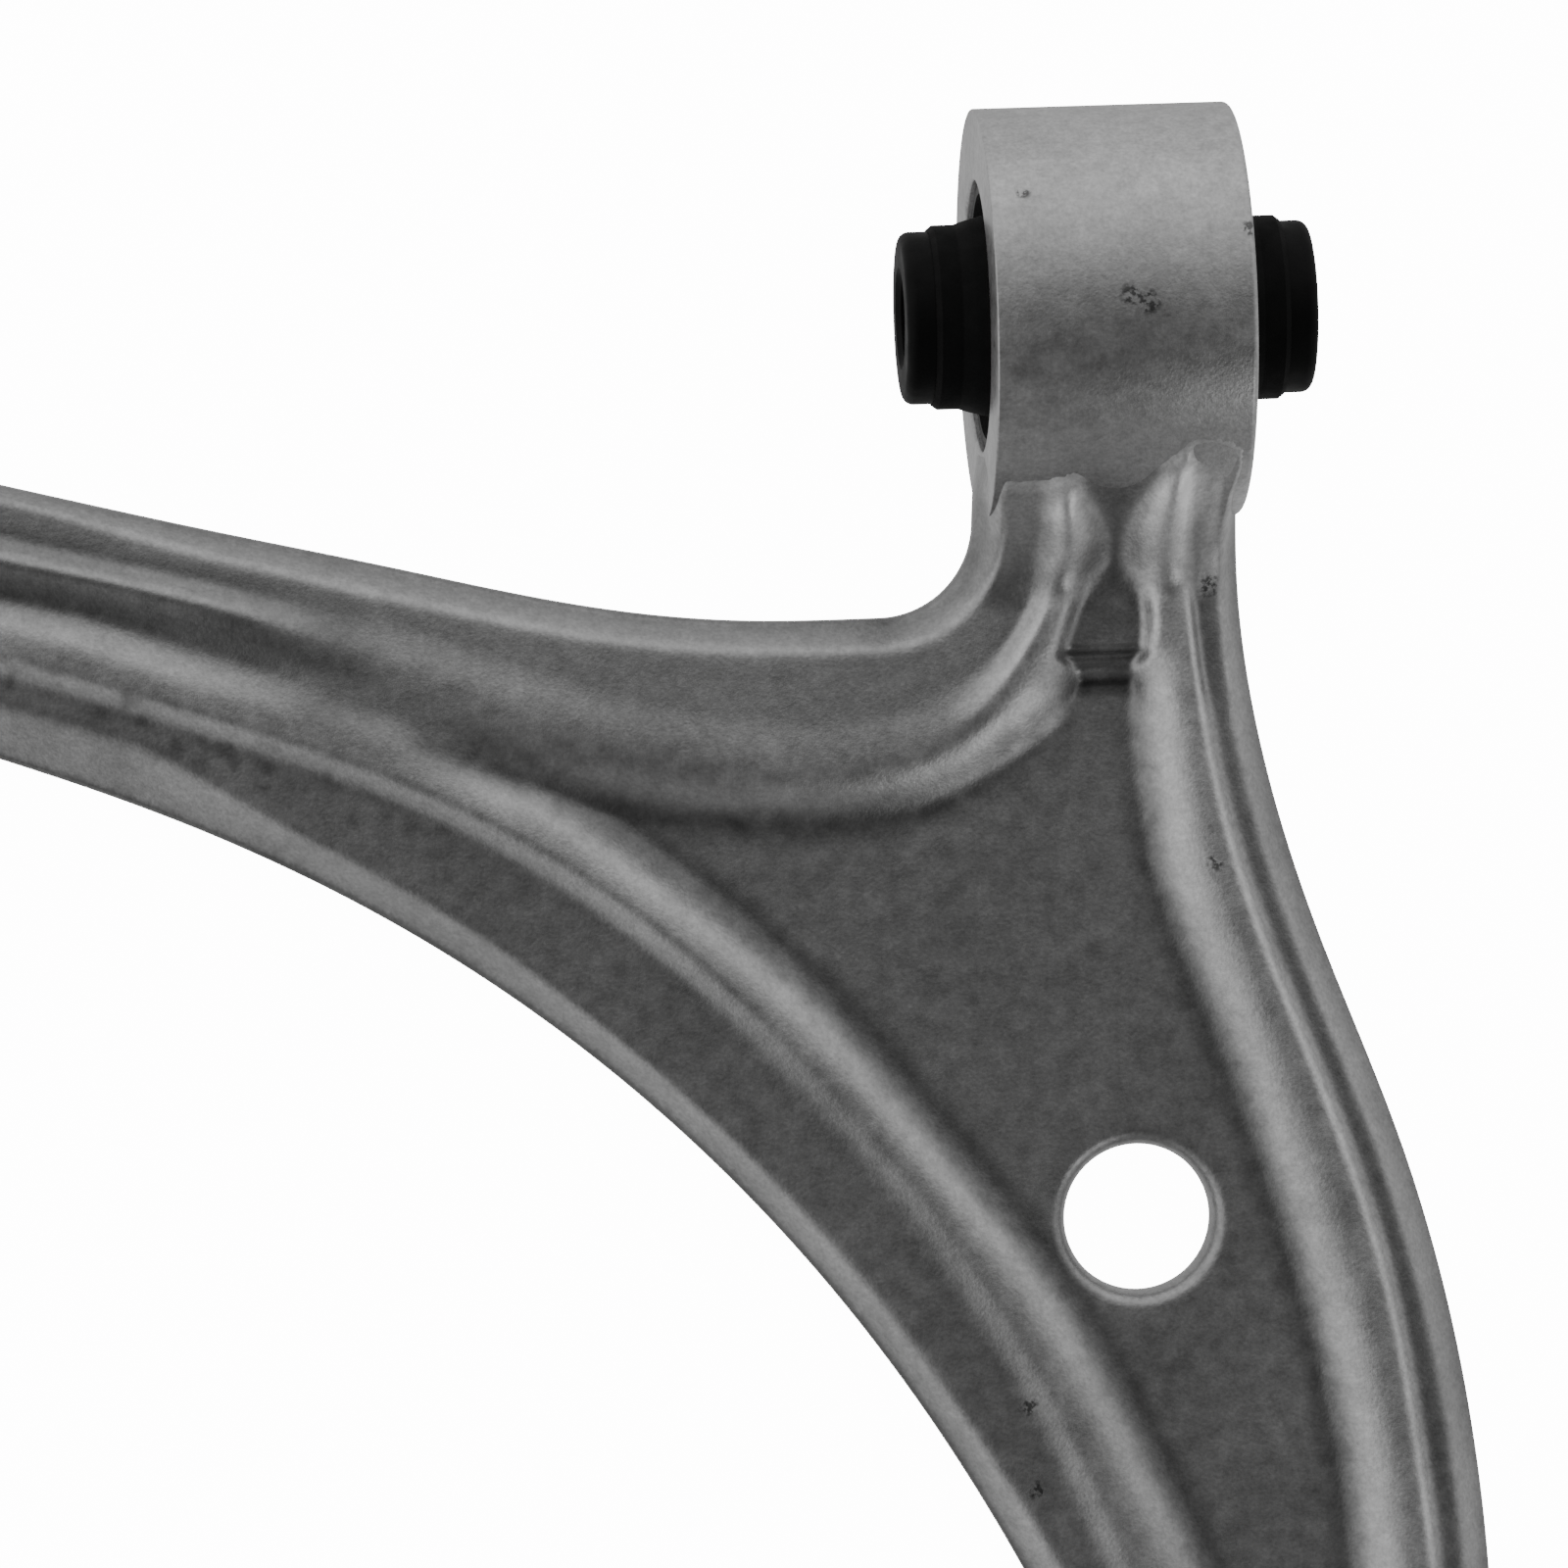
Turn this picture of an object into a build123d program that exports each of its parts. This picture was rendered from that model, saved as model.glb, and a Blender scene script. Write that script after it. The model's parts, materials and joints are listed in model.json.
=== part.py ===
"""Forged aluminium lower control arm for a car's front suspension, in millimetres.

The arm is an L. A stiff leg runs from the front bush, at the origin, out to the ball joint,
and a longer, slimmer arm runs back from the leg's root to the rear bush.
+X is the front bush's axis and points forward, +Y points inboard and +Z up, and the
forging's parting plane is z = 0. The front bush is a plain rubber bush with its axis along X,
the rear one is a fluid-filled bush with its axis along Z, and the ball joint is a steel
cartridge pressed up into the leg's end and held by a snap ring.
"""

import os
from math import sqrt

from build123d import *

os.makedirs("parts", exist_ok=True)

# Forging: heights above the parting plane, the same below it
FLANGE_H = 6.5  # outer flange
RIB_H = 11.0  # flat tops of the ribs
WEB_H = 3.5  # floor of the main pocket
NECK_FLOOR_H = 7.0  # floor of the recess in the neck
GROOVE_FLOOR_H = 8.0  # floor of the groove along the rear arm
EDGE_R = 3.0  # rounding of the flange's outer edge
BOSS_EDGE_R = 2.0  # rounding of the two bush bosses' ends
NECK_CORNER_R = 14.8  # corner between the rear arm and the neck
RIB_SIDE = 2.0  # plan width of a rib's steep outer side
POCKET_SIDE = 5.2  # plan width of the long slope down into the pocket
RECESS_SIDE = 1.6  # plan width of the slopes of the neck recess and the groove
HOLE = (0.9, -139.1)  # lightening hole in the web
HOLE_R = 11.3
HOLE_MOUTH_R = 13.4
HOLE_WALL = 2.0  # straight part in the middle of the hole

# Front boss and bush, axis along X
FRONT_BOSS_R = 31.65
FRONT_BOSS_W = 39.3
FRONT_BORE_R = 20.75
FRONT_OUTER_W = 37.3
FRONT_OUTER_WALL = 2.0
FRONT_INNER_R = 13.2
FRONT_INNER_W = 62.8
CUFF_R = 14.1  # rubber round the inner sleeve, outside the boss
CUFF_END = 27.0

# Rear boss and bush, axis along Z
REAR = (-262.0, -19.0)
REAR_BOSS_R = 40.0
REAR_BOSS_W = 48.0
REAR_BORE_R = 31.5
CAN_WALL = 1.8
CAN_W = 50.0
CAN_LIP_R = 28.0
CAGE_R = 24.4
CHANNEL_RING_R = 26.2
CHANNEL_RING_W = 14.0
CHAMBER_W = 22.0
REAR_CORE_R = 13.5
REAR_CORE_W = 63.3
STOP_R = 17.0
STOP_LUG_R = 20.5

# Ball joint, axis along Z, with its heights counted from the ball's centre
BALL = (34.0, -322.0, -9.0)
BALL_R = 13.0
BOSS_R = 29.0
BOSS_BOTTOM = -12.0
BOSS_TOP = FLANGE_H - BALL[2]
SPOT_FACE_R = 28.0
CARTRIDGE_R = 22.0
RACE_R = 17.0
RACE_BOTTOM = -15.0
RACE_TOP = 7.0
DISC_BOTTOM = -18.2
PLATE_BOTTOM = -20.9
CLIP_T = 1.75
CLIP_GROOVE_R = 20.6
BOOT_SEAT = (19.5, 23.6)  # groove for the boot's foot, from and to
BOOT_SEAT_R = 20.3
STUD_SEAT = (34.0, 41.0)  # cylinder for the boot's neck, from and to
STUD_SEAT_R = 8.6
TAPER_END = 62.0
TAPER_END_R = 7.55
THREAD_R = 6.0  # M12
STUD_END = 85.0
PIN_HEIGHT = 78.5
NUT_BOTTOM = 66.0
NUT_HEX_TOP = 76.0
NUT_TOP = 81.0
NUT_FLATS = 18.0
SLOT_W = 3.4
SLOT_DEPTH = 4.2
PIN_R = 1.45

BOLT_R = 7.1  # bore for an M14 bolt
SLIP = 0.03  # radial clearance of a face that turns in another

# Plan curves of the forging, each running from the rear bush or the neck to the ball joint
INBOARD_EDGE = [
    (-238, -3), (-200, -13), (-169, -21), (-140, -28.4), (-110, -35.6),
    (-81, -42.4), (-58, -45.4), (-36, -45.8),
]
FRONT_EDGE = [
    (19.4, -24), (19.0, -42), (21.7, -65.6), (30, -96), (41.3, -127),
    (49.3, -157.6), (53.4, -188), (54.3, -222), (53, -262), (53, -304),
]
OUTBOARD_EDGE = [
    (-238, -45.5), (-200, -53), (-170.7, -62.2), (-144.3, -72.5), (-112.1, -89.2),
    (-82.8, -110.3), (-53.6, -139.3), (-31.4, -169.5), (-18.1, -192.7),
    (-4, -224), (7, -262), (12, -304),
]
REAR_RIB = [
    (-236, -12.5), (-200, -21), (-169.4, -29.1), (-140.1, -36.6), (-110.7, -45.2),
    (-81.3, -56), (-60, -61.6), (-41.2, -62.7), (-28, -59.3), (-17, -50.5),
    (-11.2, -40), (-9.3, -26.7), (-9.3, -10),
]
FRONT_RIB = [
    (12.2, -10), (12.2, -27.5), (12.8, -48.4), (15.1, -63.5), (19.5, -86),
    (30.8, -118.3), (40, -148.9), (43.7, -171.8), (46.1, -193.2),
    (46.6, -225), (45, -262), (44, -300),
]
OUTBOARD_RIB = [
    (-236, -35), (-200, -41.5), (-170.2, -49.5), (-140.9, -59.2), (-111.6, -70.5),
    (-82.4, -87.7), (-53.3, -114.3), (-28.7, -146.2), (-15.8, -169.4),
    (-6.6, -191), (5, -225), (15, -262), (22, -300),
]
POCKET_REAR = [(-86, -72), (-66.8, -74.6), (-46, -75.6), (-28, -72.8), (-15, -65.5), (-6.5, -57)]
POCKET_FRONT = [
    (2.8, -57), (3.4, -70), (5.8, -87.4), (11.5, -103.5), (17.5, -121),
    (25.3, -148.7), (30.3, -171.7), (33, -200), (34, -228), (34, -262),
]
POCKET_OUTBOARD = [
    (-86, -72), (-67.1, -84.8), (-52.5, -98.1), (-38, -114.4), (-26, -130),
    (-12.5, -150), (-0.5, -172), (9.5, -195), (19, -222), (28, -262),
]
NECK_RECESS = [(-1.4, -35.5), (1.4, -35.5), (4.2, -46), (2.8, -59), (-6.5, -59), (-8.8, -52)]
ARM_GROOVE = [(-124, -50.4), (-222, -26.4), (-222, -22.2)]


def shifted(points, distance):
    """The points of a curve, each moved by distance to the left of the way along it."""
    moved = []
    for i, (x, y) in enumerate(points):
        back = points[max(i - 1, 0)]
        ahead = points[min(i + 1, len(points) - 1)]
        dx, dy = ahead[0] - back[0], ahead[1] - back[1]
        run = sqrt(dx**2 + dy**2)
        moved.append((x - dy / run * distance, y + dx / run * distance))
    return moved


def swollen(corners, distance):
    """The corners of a small outline, each moved by distance away from their middle."""
    mx = sum(x for x, _ in corners) / len(corners)
    my = sum(y for _, y in corners) / len(corners)
    moved = []
    for x, y in corners:
        far = sqrt((x - mx) ** 2 + (y - my) ** 2)
        moved.append((x + (x - mx) / far * distance, y + (y - my) / far * distance))
    return moved


def curved_face(height, rear, front, outboard):
    """The face inside three plan curves, closed by straight lines between their ends."""
    with BuildSketch(Plane.XY.offset(height)) as face:
        with BuildLine():
            Spline(*rear)
            Line(rear[-1], front[0])
            Spline(*front)
            Line(front[-1], outboard[-1])
            Spline(*outboard)
            if outboard[0] != rear[0]:
                Line(outboard[0], rear[0])
        make_face()
    return face.sketch


def straight_face(height, corners):
    """The face inside straight lines between the corners."""
    with BuildSketch(Plane.XY.offset(height)) as face:
        with BuildLine():
            Polyline(*corners, close=True)
        make_face()
    return face.sketch


def turned(*outline):
    """The solid of revolution about Z of an outline given as (radius, height) points."""
    with BuildPart() as solid:
        with BuildSketch(Plane.XZ):
            with BuildLine():
                Polyline(*outline, close=True)
            make_face()
        revolve(axis=Axis.Z)
    return solid.part


def sector(inner, outer, width, middle, sweep):
    """A piece of a ring about Z, centred on z = 0 and on the angle middle."""
    with BuildPart() as solid:
        with BuildSketch(Plane.XZ):
            with Locations(((inner + outer) / 2, 0)):
                Rectangle(outer - inner, width)
        revolve(axis=Axis.Z, revolution_arc=sweep)
    return Rot(0, 0, middle - sweep / 2) * solid.part


def write(part, name):
    part.label = name
    export_step(part, f"parts/{name}.step")


ALONG_X = Rot(0, 90, 0)
AT_REAR = Pos(*REAR, 0)
AT_BALL = Pos(*BALL)

# The raised ribs as one block, then the hollows between them
ribs = loft(
    [
        curved_face(0, REAR_RIB, FRONT_RIB, OUTBOARD_RIB),
        curved_face(FLANGE_H, REAR_RIB, FRONT_RIB, OUTBOARD_RIB),
    ],
    ruled=True,
) + loft(
    [
        curved_face(FLANGE_H, REAR_RIB, FRONT_RIB, OUTBOARD_RIB),
        curved_face(
            RIB_H,
            shifted(REAR_RIB, -RIB_SIDE),
            shifted(FRONT_RIB, -RIB_SIDE),
            shifted(OUTBOARD_RIB, RIB_SIDE),
        ),
    ],
    ruled=True,
)
pocket = loft(
    [
        curved_face(WEB_H, POCKET_REAR, POCKET_FRONT, POCKET_OUTBOARD),
        curved_face(
            RIB_H,
            shifted(POCKET_REAR, POCKET_SIDE),
            shifted(POCKET_FRONT, POCKET_SIDE),
            shifted(POCKET_OUTBOARD, -POCKET_SIDE),
        ),
    ],
    ruled=True,
)
neck_recess = loft(
    [
        straight_face(NECK_FLOOR_H, NECK_RECESS),
        straight_face(RIB_H, swollen(NECK_RECESS, RECESS_SIDE)),
    ],
    ruled=True,
)
groove = loft(
    [
        straight_face(GROOVE_FLOOR_H, ARM_GROOVE),
        straight_face(RIB_H, swollen(ARM_GROOVE, RECESS_SIDE)),
    ],
    ruled=True,
)

with BuildPart() as front_boss:
    Cylinder(FRONT_BOSS_R, FRONT_BOSS_W, rotation=(0, 90, 0))
    fillet(front_boss.edges().filter_by(GeomType.CIRCLE), BOSS_EDGE_R)

with BuildPart() as rear_boss:
    Cylinder(REAR_BOSS_R, REAR_BOSS_W)
    fillet(rear_boss.edges().filter_by(GeomType.CIRCLE), BOSS_EDGE_R)

with BuildPart() as arm_forging:
    with BuildSketch():
        with BuildLine():
            Spline(*INBOARD_EDGE)
            corner = JernArc(INBOARD_EDGE[-1], (1, 0), NECK_CORNER_R, 90)
            Line(corner @ 1, (-FRONT_BOSS_W / 2, FRONT_EDGE[0][1]))
            Line((-FRONT_BOSS_W / 2, FRONT_EDGE[0][1]), FRONT_EDGE[0])
            Spline(*FRONT_EDGE)
            Line(FRONT_EDGE[-1], OUTBOARD_EDGE[-1])
            Spline(*OUTBOARD_EDGE)
            Line(OUTBOARD_EDGE[0], INBOARD_EDGE[0])
        make_face()
    extrude(amount=FLANGE_H, both=True)
    fillet(arm_forging.faces().filter_by(Axis.Z).edges(), EDGE_R)
    for side in (ribs, mirror(ribs, about=Plane.XY, mode=Mode.PRIVATE)):
        add(side)
    for hollow in (pocket, neck_recess, groove):
        add(hollow, mode=Mode.SUBTRACT)
        add(mirror(hollow, about=Plane.XY, mode=Mode.PRIVATE), mode=Mode.SUBTRACT)
    with Locations(HOLE):
        Cylinder(HOLE_R, 4 * WEB_H, mode=Mode.SUBTRACT)
    for way in (1, -1):
        with Locations((*HOLE, way * (WEB_H + HOLE_WALL / 2) / 2)):
            Cone(
                HOLE_R if way > 0 else HOLE_MOUTH_R,
                HOLE_MOUTH_R if way > 0 else HOLE_R,
                WEB_H - HOLE_WALL / 2,
                mode=Mode.SUBTRACT,
            )
    add(front_boss.part)
    Cylinder(FRONT_BORE_R, 2 * FRONT_BOSS_W, rotation=(0, 90, 0), mode=Mode.SUBTRACT)
    with Locations((*REAR, 0)):
        add(rear_boss.part)
        Cylinder(REAR_BORE_R, REAR_BOSS_W, mode=Mode.SUBTRACT)
    # ball joint boss
    with Locations((BALL[0], BALL[1], FLANGE_H)):
        Cylinder(
            BOSS_R,
            BOSS_TOP - BOSS_BOTTOM,
            align=(Align.CENTER, Align.CENTER, Align.MAX),
        )
        Cylinder(
            SPOT_FACE_R,
            RIB_H,
            align=(Align.CENTER, Align.CENTER, Align.MIN),
            mode=Mode.SUBTRACT,
        )
        Cylinder(CARTRIDGE_R, 80, mode=Mode.SUBTRACT)
write(arm_forging.part, "arm_forging")

# Front bush: made along Z and turned to lie along X
outer_sleeve = turned(
    (FRONT_BORE_R - FRONT_OUTER_WALL, -FRONT_OUTER_W / 2),
    (FRONT_BORE_R - 0.6, -FRONT_OUTER_W / 2),
    (FRONT_BORE_R, -FRONT_OUTER_W / 2 + 0.6),
    (FRONT_BORE_R, FRONT_OUTER_W / 2 - 0.6),
    (FRONT_BORE_R - 0.6, FRONT_OUTER_W / 2),
    (FRONT_BORE_R - FRONT_OUTER_WALL, FRONT_OUTER_W / 2),
)
write(ALONG_X * outer_sleeve, "front_bush_outer_sleeve")

# from the outer sleeve's end, a hollow in the face, a flare and the cuff
bush_face = [
    (FRONT_BORE_R - FRONT_OUTER_WALL, 18.6),
    (17.6, 16.8),
    (16.4, 16.6),
    (15.4, 18.2),
    (14.7, 21.0),
    (CUFF_R, 23.0),
    (CUFF_R, CUFF_END - 0.8),
    (CUFF_R - 0.6, CUFF_END),
    (FRONT_INNER_R + SLIP, CUFF_END),
]
bush_rubber = turned(*bush_face, *[(r, -h) for r, h in reversed(bush_face)])
write(ALONG_X * bush_rubber, "front_bush_rubber")

with BuildPart() as inner_sleeve:
    Cylinder(FRONT_INNER_R, FRONT_INNER_W)
    fillet(inner_sleeve.edges().filter_by(GeomType.CIRCLE), 1.6)
    Cylinder(BOLT_R, FRONT_INNER_W, mode=Mode.SUBTRACT)
    chamfer(
        inner_sleeve.edges()
        .filter_by(GeomType.CIRCLE)
        .filter_by(lambda e: abs(e.radius - BOLT_R) < SLIP),
        0.8,
    )
write(ALONG_X * inner_sleeve.part, "front_bush_inner_sleeve")

# Rear bush
can_inside = REAR_BORE_R - CAN_WALL
can = turned(
    (REAR_BORE_R, -CAN_W / 2 + 1.5),
    (REAR_BORE_R, CAN_W / 2 - 1.5),
    (REAR_BORE_R - 1.5, CAN_W / 2),
    (CAN_LIP_R, CAN_W / 2),
    (CAN_LIP_R, CAN_W / 2 - CAN_WALL),
    (can_inside, CAN_W / 2 - CAN_WALL),
    (can_inside, -CAN_W / 2 + CAN_WALL),
    (CAN_LIP_R, -CAN_W / 2 + CAN_WALL),
    (CAN_LIP_R, -CAN_W / 2),
    (REAR_BORE_R - 1.5, -CAN_W / 2),
)
write(AT_REAR * can, "rear_bush_outer_can")

cage_end = CAN_W / 2 - CAN_WALL
with BuildPart() as cage:
    Cylinder(can_inside, 2 * cage_end)
    Cylinder(CAGE_R, 2 * cage_end, mode=Mode.SUBTRACT)
    add(sector(CHANNEL_RING_R, can_inside, CHANNEL_RING_W, 0, 360), mode=Mode.SUBTRACT)
    for middle in (0, 180):
        add(sector(CAGE_R - 1, CHANNEL_RING_R + 1, CHANNEL_RING_W, middle, 90), mode=Mode.SUBTRACT)
write(AT_REAR * cage.part, "rear_bush_cage")

with BuildPart() as channel_ring:
    add(sector(CHANNEL_RING_R, can_inside, CHANNEL_RING_W, 180, 356))
    add(sector(can_inside - 2, can_inside + 1, 5, 180, 330), mode=Mode.SUBTRACT)
    for middle in (20, -20):
        with Locations(Rot(0, 0, middle) * Pos(can_inside, 0, 0)):
            Cylinder(1.8, 20, rotation=(0, 90, 0), mode=Mode.SUBTRACT)
write(AT_REAR * channel_ring.part, "rear_bush_channel_ring")

# ring round the core, with a lug in each fluid chamber
with BuildPart() as travel_stop:
    add(sector(REAR_CORE_R, STOP_R, 12, 0, 360))
    for middle in (0, 180):
        add(sector(REAR_CORE_R, STOP_LUG_R, 12, middle, 50))
write(AT_REAR * travel_stop.part, "rear_bush_travel_stop")

with BuildPart() as rear_rubber:
    add(
        turned(
            (REAR_CORE_R, 21), (16, 20.5), (19, 18), (22, 19.5), (CAGE_R, 22),
            (CAGE_R, -22), (22, -19.5), (19, -18), (16, -20.5), (REAR_CORE_R, -21),
        )
    )
    for middle in (0, 180):
        add(sector(STOP_R + 0.5, CAGE_R + 1, CHAMBER_W, middle, 96), mode=Mode.SUBTRACT)
    add(sector(REAR_CORE_R - 1, STOP_R + 0.5, 13, 0, 360), mode=Mode.SUBTRACT)
write(AT_REAR * rear_rubber.part, "rear_bush_rubber")

with BuildPart() as rear_core:
    Cylinder(REAR_CORE_R, REAR_CORE_W)
    fillet(rear_core.edges().filter_by(GeomType.CIRCLE), 1.2)
    Cylinder(BOLT_R, REAR_CORE_W, mode=Mode.SUBTRACT)
    chamfer(
        rear_core.edges()
        .filter_by(GeomType.CIRCLE)
        .filter_by(lambda e: abs(e.radius - BOLT_R) < SLIP),
        0.8,
    )
write(AT_REAR * rear_core.part, "rear_bush_core")

# Ball joint: every piece is made with the ball's centre at the origin
housing = turned(
    (RACE_R, RACE_TOP),
    (12.0, RACE_TOP), (12.0, 8.5), (19.0, 25.0),  # mouth, opening with the stud's tilt
    (21.0, 25.0), (21.3, 24.6),
    (21.3, BOOT_SEAT[1]), (BOOT_SEAT_R, BOOT_SEAT[1]),
    (BOOT_SEAT_R, BOOT_SEAT[0]), (CARTRIDGE_R, BOOT_SEAT[0]),
    (CARTRIDGE_R, BOSS_TOP + CLIP_T), (CLIP_GROOVE_R, BOSS_TOP + CLIP_T),
    (CLIP_GROOVE_R, BOSS_TOP), (CARTRIDGE_R, BOSS_TOP),
    (CARTRIDGE_R, BOSS_BOTTOM), (25.6, BOSS_BOTTOM), (26.0, BOSS_BOTTOM - 0.4),
    (26.0, BOSS_BOTTOM - 4.0), (25.5, BOSS_BOTTOM - 4.5), (CARTRIDGE_R, BOSS_BOTTOM - 4.5),
    (21.4, -21.6), (20.2, -22.65), (18.4, -22.65),  # rim rolled over the cover plate
    (18.4, PLATE_BOTTOM), (19.6, PLATE_BOTTOM), (19.6, DISC_BOTTOM), (RACE_R, DISC_BOTTOM),
)
write(AT_BALL * housing, "ball_joint_housing")

with BuildPart() as circlip:
    with BuildSketch(Plane.XY.offset(BOSS_TOP)):
        Circle(24.4)
        Circle(CLIP_GROOVE_R, mode=Mode.SUBTRACT)
        with PolarLocations(24.2, 2, start_angle=-104, angular_range=56):
            Circle(2.7)
        with Locations((0, -24)):
            Rectangle(6.4, 12, mode=Mode.SUBTRACT)
        Circle(CLIP_GROOVE_R, mode=Mode.SUBTRACT)
        with PolarLocations(24.6, 2, start_angle=-104, angular_range=56):
            Circle(1.1, mode=Mode.SUBTRACT)
    extrude(amount=CLIP_T)
write(AT_BALL * circlip.part, "ball_joint_circlip")

with BuildPart() as race:
    add(
        turned(
            (5.0, RACE_BOTTOM), (RACE_R, RACE_BOTTOM), (RACE_R, RACE_TOP), (11.85, RACE_TOP),
            (11.85, 5.0), (5.0, 5.0),
        )
    )
    Sphere(BALL_R + SLIP, mode=Mode.SUBTRACT)
write(AT_BALL * race.part, "ball_race_cup")

write(
    AT_BALL
    * turned(
        (5.0, DISC_BOTTOM), (RACE_R, DISC_BOTTOM), (RACE_R, -15.8), (14.0, RACE_BOTTOM),
        (5.0, RACE_BOTTOM),
    ),
    "ball_preload_disc",
)
write(
    AT_BALL
    * turned(
        (0, DISC_BOTTOM), (19.6, DISC_BOTTOM), (19.6, PLATE_BOTTOM), (12.0, PLATE_BOTTOM),
        (10.0, PLATE_BOTTOM + 0.9), (0, PLATE_BOTTOM + 0.9),
    ),
    "ball_joint_cover_plate",
)

with BuildPart() as ball_stud:
    Sphere(BALL_R)
    add(
        turned(
            (0, 0), (7.2, 8), (7.2, 30.5), (STUD_SEAT_R, STUD_SEAT[0]),
            (STUD_SEAT_R, STUD_SEAT[1]), (TAPER_END_R, TAPER_END), (5.4, TAPER_END + 0.8),
            (5.4, TAPER_END + 3), (THREAD_R, TAPER_END + 3.8), (THREAD_R, STUD_END - 1.2),
            (THREAD_R - 1.2, STUD_END), (0, STUD_END),
        )
    )
    with Locations((0, 0, -11)):
        Box(30, 30, 10, align=(Align.CENTER, Align.CENTER, Align.MAX), mode=Mode.SUBTRACT)
    with Locations((0, 0, PIN_HEIGHT)):
        Cylinder(PIN_R + 0.1, 20, rotation=(0, 90, 0), mode=Mode.SUBTRACT)
write(AT_BALL * ball_stud.part, "ball_stud")

# foot in the cartridge's groove, one fold, and a neck round the stud
boot = turned(
    (BOOT_SEAT_R, BOOT_SEAT[0] + 0.2), (23.0, BOOT_SEAT[0] + 0.2), (23.0, 20.6),
    (23.0, 22.8), (24.4, 24.0), (25.6, 26.0), (25.8, 28.0), (24.8, 30.2), (22.4, 31.8),
    (18.6, 32.6), (14.6, 33.0), (13.0, 34.2), (12.2, 36.0), (12.2, 38.6), (12.8, 39.4),
    (12.4, 40.2), (STUD_SEAT_R + 0.6, 40.2), (STUD_SEAT_R + SLIP, 39.6),
    (STUD_SEAT_R + SLIP, 35.0), (10.6, 33.6), (12.6, 31.8), (17.8, 31.0), (21.6, 30.2),
    (23.4, 28.9), (24.1, 27.6), (23.9, 26.2), (22.6, 24.9), (21.4, 24.6), (21.4, 23.6),
    (BOOT_SEAT_R, 23.4),
)
write(AT_BALL * boot, "dust_boot")
write(
    AT_BALL * turned((23.0, 20.8), (24.2, 20.8), (24.2, 22.6), (23.0, 22.6)),
    "boot_housing_ring",
)
write(
    AT_BALL * turned((12.2, 36.2), (13.4, 36.2), (13.4, 38.4), (12.2, 38.4)),
    "boot_stud_ring",
)

with BuildPart() as castle_nut:
    with BuildSketch(Plane.XY.offset(NUT_BOTTOM)):
        RegularPolygon(NUT_FLATS / 2, 6, major_radius=False, rotation=30)
    extrude(amount=NUT_HEX_TOP - NUT_BOTTOM)
    add(
        turned(
            (0, NUT_BOTTOM), (9.2, NUT_BOTTOM), (10.6, NUT_BOTTOM + 0.9),
            (10.6, NUT_HEX_TOP - 0.9), (9.2, NUT_HEX_TOP), (0, NUT_HEX_TOP),
        ),
        mode=Mode.INTERSECT,
    )
    with Locations((0, 0, NUT_HEX_TOP)):
        Cylinder(8.6, NUT_TOP - NUT_HEX_TOP, align=(Align.CENTER, Align.CENTER, Align.MIN))
    Cylinder(THREAD_R, 200, mode=Mode.SUBTRACT)
    with Locations((0, 0, NUT_TOP)):
        for turn in (0, 60, 120):
            Box(30, SLOT_W, 2 * SLOT_DEPTH, rotation=(0, 0, turn), mode=Mode.SUBTRACT)
write(AT_BALL * castle_nut.part, "castle_nut")

# two legs side by side through the stud: one bent up over its end, one down along the nut
with BuildPart() as cotter_pin:
    for way, reach in ((1, 5.0), (-1, 8.0)):
        with BuildLine(Plane.XZ) as leg:
            shank = Line((-12.5, PIN_HEIGHT + way * 0.7), (9.2, PIN_HEIGHT + way * 0.7))
            bend = JernArc(shank @ 1, (1, 0), 1.8, way * 85)
            Line(bend @ 1, bend @ 1 + (bend % 1) * reach)
        with BuildSketch(Plane(leg.line @ 0, z_dir=(1, 0, 0))):
            Circle(0.72)
        sweep(path=leg.line)
    with Locations(Pos(-14.0, 0, PIN_HEIGHT) * Rot(90, 0, 0)):
        Torus(2.1, 0.72)
write(AT_BALL * cotter_pin.part, "cotter_pin")
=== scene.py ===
import json
import math

import bmesh
import bpy
import numpy as np
from mathutils import Matrix, Vector
from mathutils.geometry import delaunay_2d_cdt


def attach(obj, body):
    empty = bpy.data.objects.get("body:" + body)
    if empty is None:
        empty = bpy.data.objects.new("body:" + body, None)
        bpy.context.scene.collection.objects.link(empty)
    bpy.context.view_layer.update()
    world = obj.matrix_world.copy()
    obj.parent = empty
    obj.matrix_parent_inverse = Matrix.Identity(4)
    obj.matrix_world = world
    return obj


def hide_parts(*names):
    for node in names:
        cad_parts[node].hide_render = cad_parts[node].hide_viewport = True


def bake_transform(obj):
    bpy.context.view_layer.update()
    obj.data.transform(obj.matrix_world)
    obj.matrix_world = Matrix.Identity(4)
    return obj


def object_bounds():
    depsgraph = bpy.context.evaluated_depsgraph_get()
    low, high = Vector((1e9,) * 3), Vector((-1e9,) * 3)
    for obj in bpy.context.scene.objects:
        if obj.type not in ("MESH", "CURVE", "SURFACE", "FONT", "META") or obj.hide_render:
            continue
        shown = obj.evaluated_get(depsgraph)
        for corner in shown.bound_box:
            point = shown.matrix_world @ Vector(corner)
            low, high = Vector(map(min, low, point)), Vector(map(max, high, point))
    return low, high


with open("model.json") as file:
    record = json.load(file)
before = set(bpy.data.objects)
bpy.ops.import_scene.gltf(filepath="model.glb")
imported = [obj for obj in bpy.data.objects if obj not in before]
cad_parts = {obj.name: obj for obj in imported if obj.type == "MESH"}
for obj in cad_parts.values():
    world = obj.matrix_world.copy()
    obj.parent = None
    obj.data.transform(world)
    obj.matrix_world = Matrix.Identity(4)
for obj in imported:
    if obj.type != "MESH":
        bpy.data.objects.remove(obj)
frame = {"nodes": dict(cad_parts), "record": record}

cad_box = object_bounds()
MM = 0.001
rng = np.random.default_rng(11)

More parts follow.
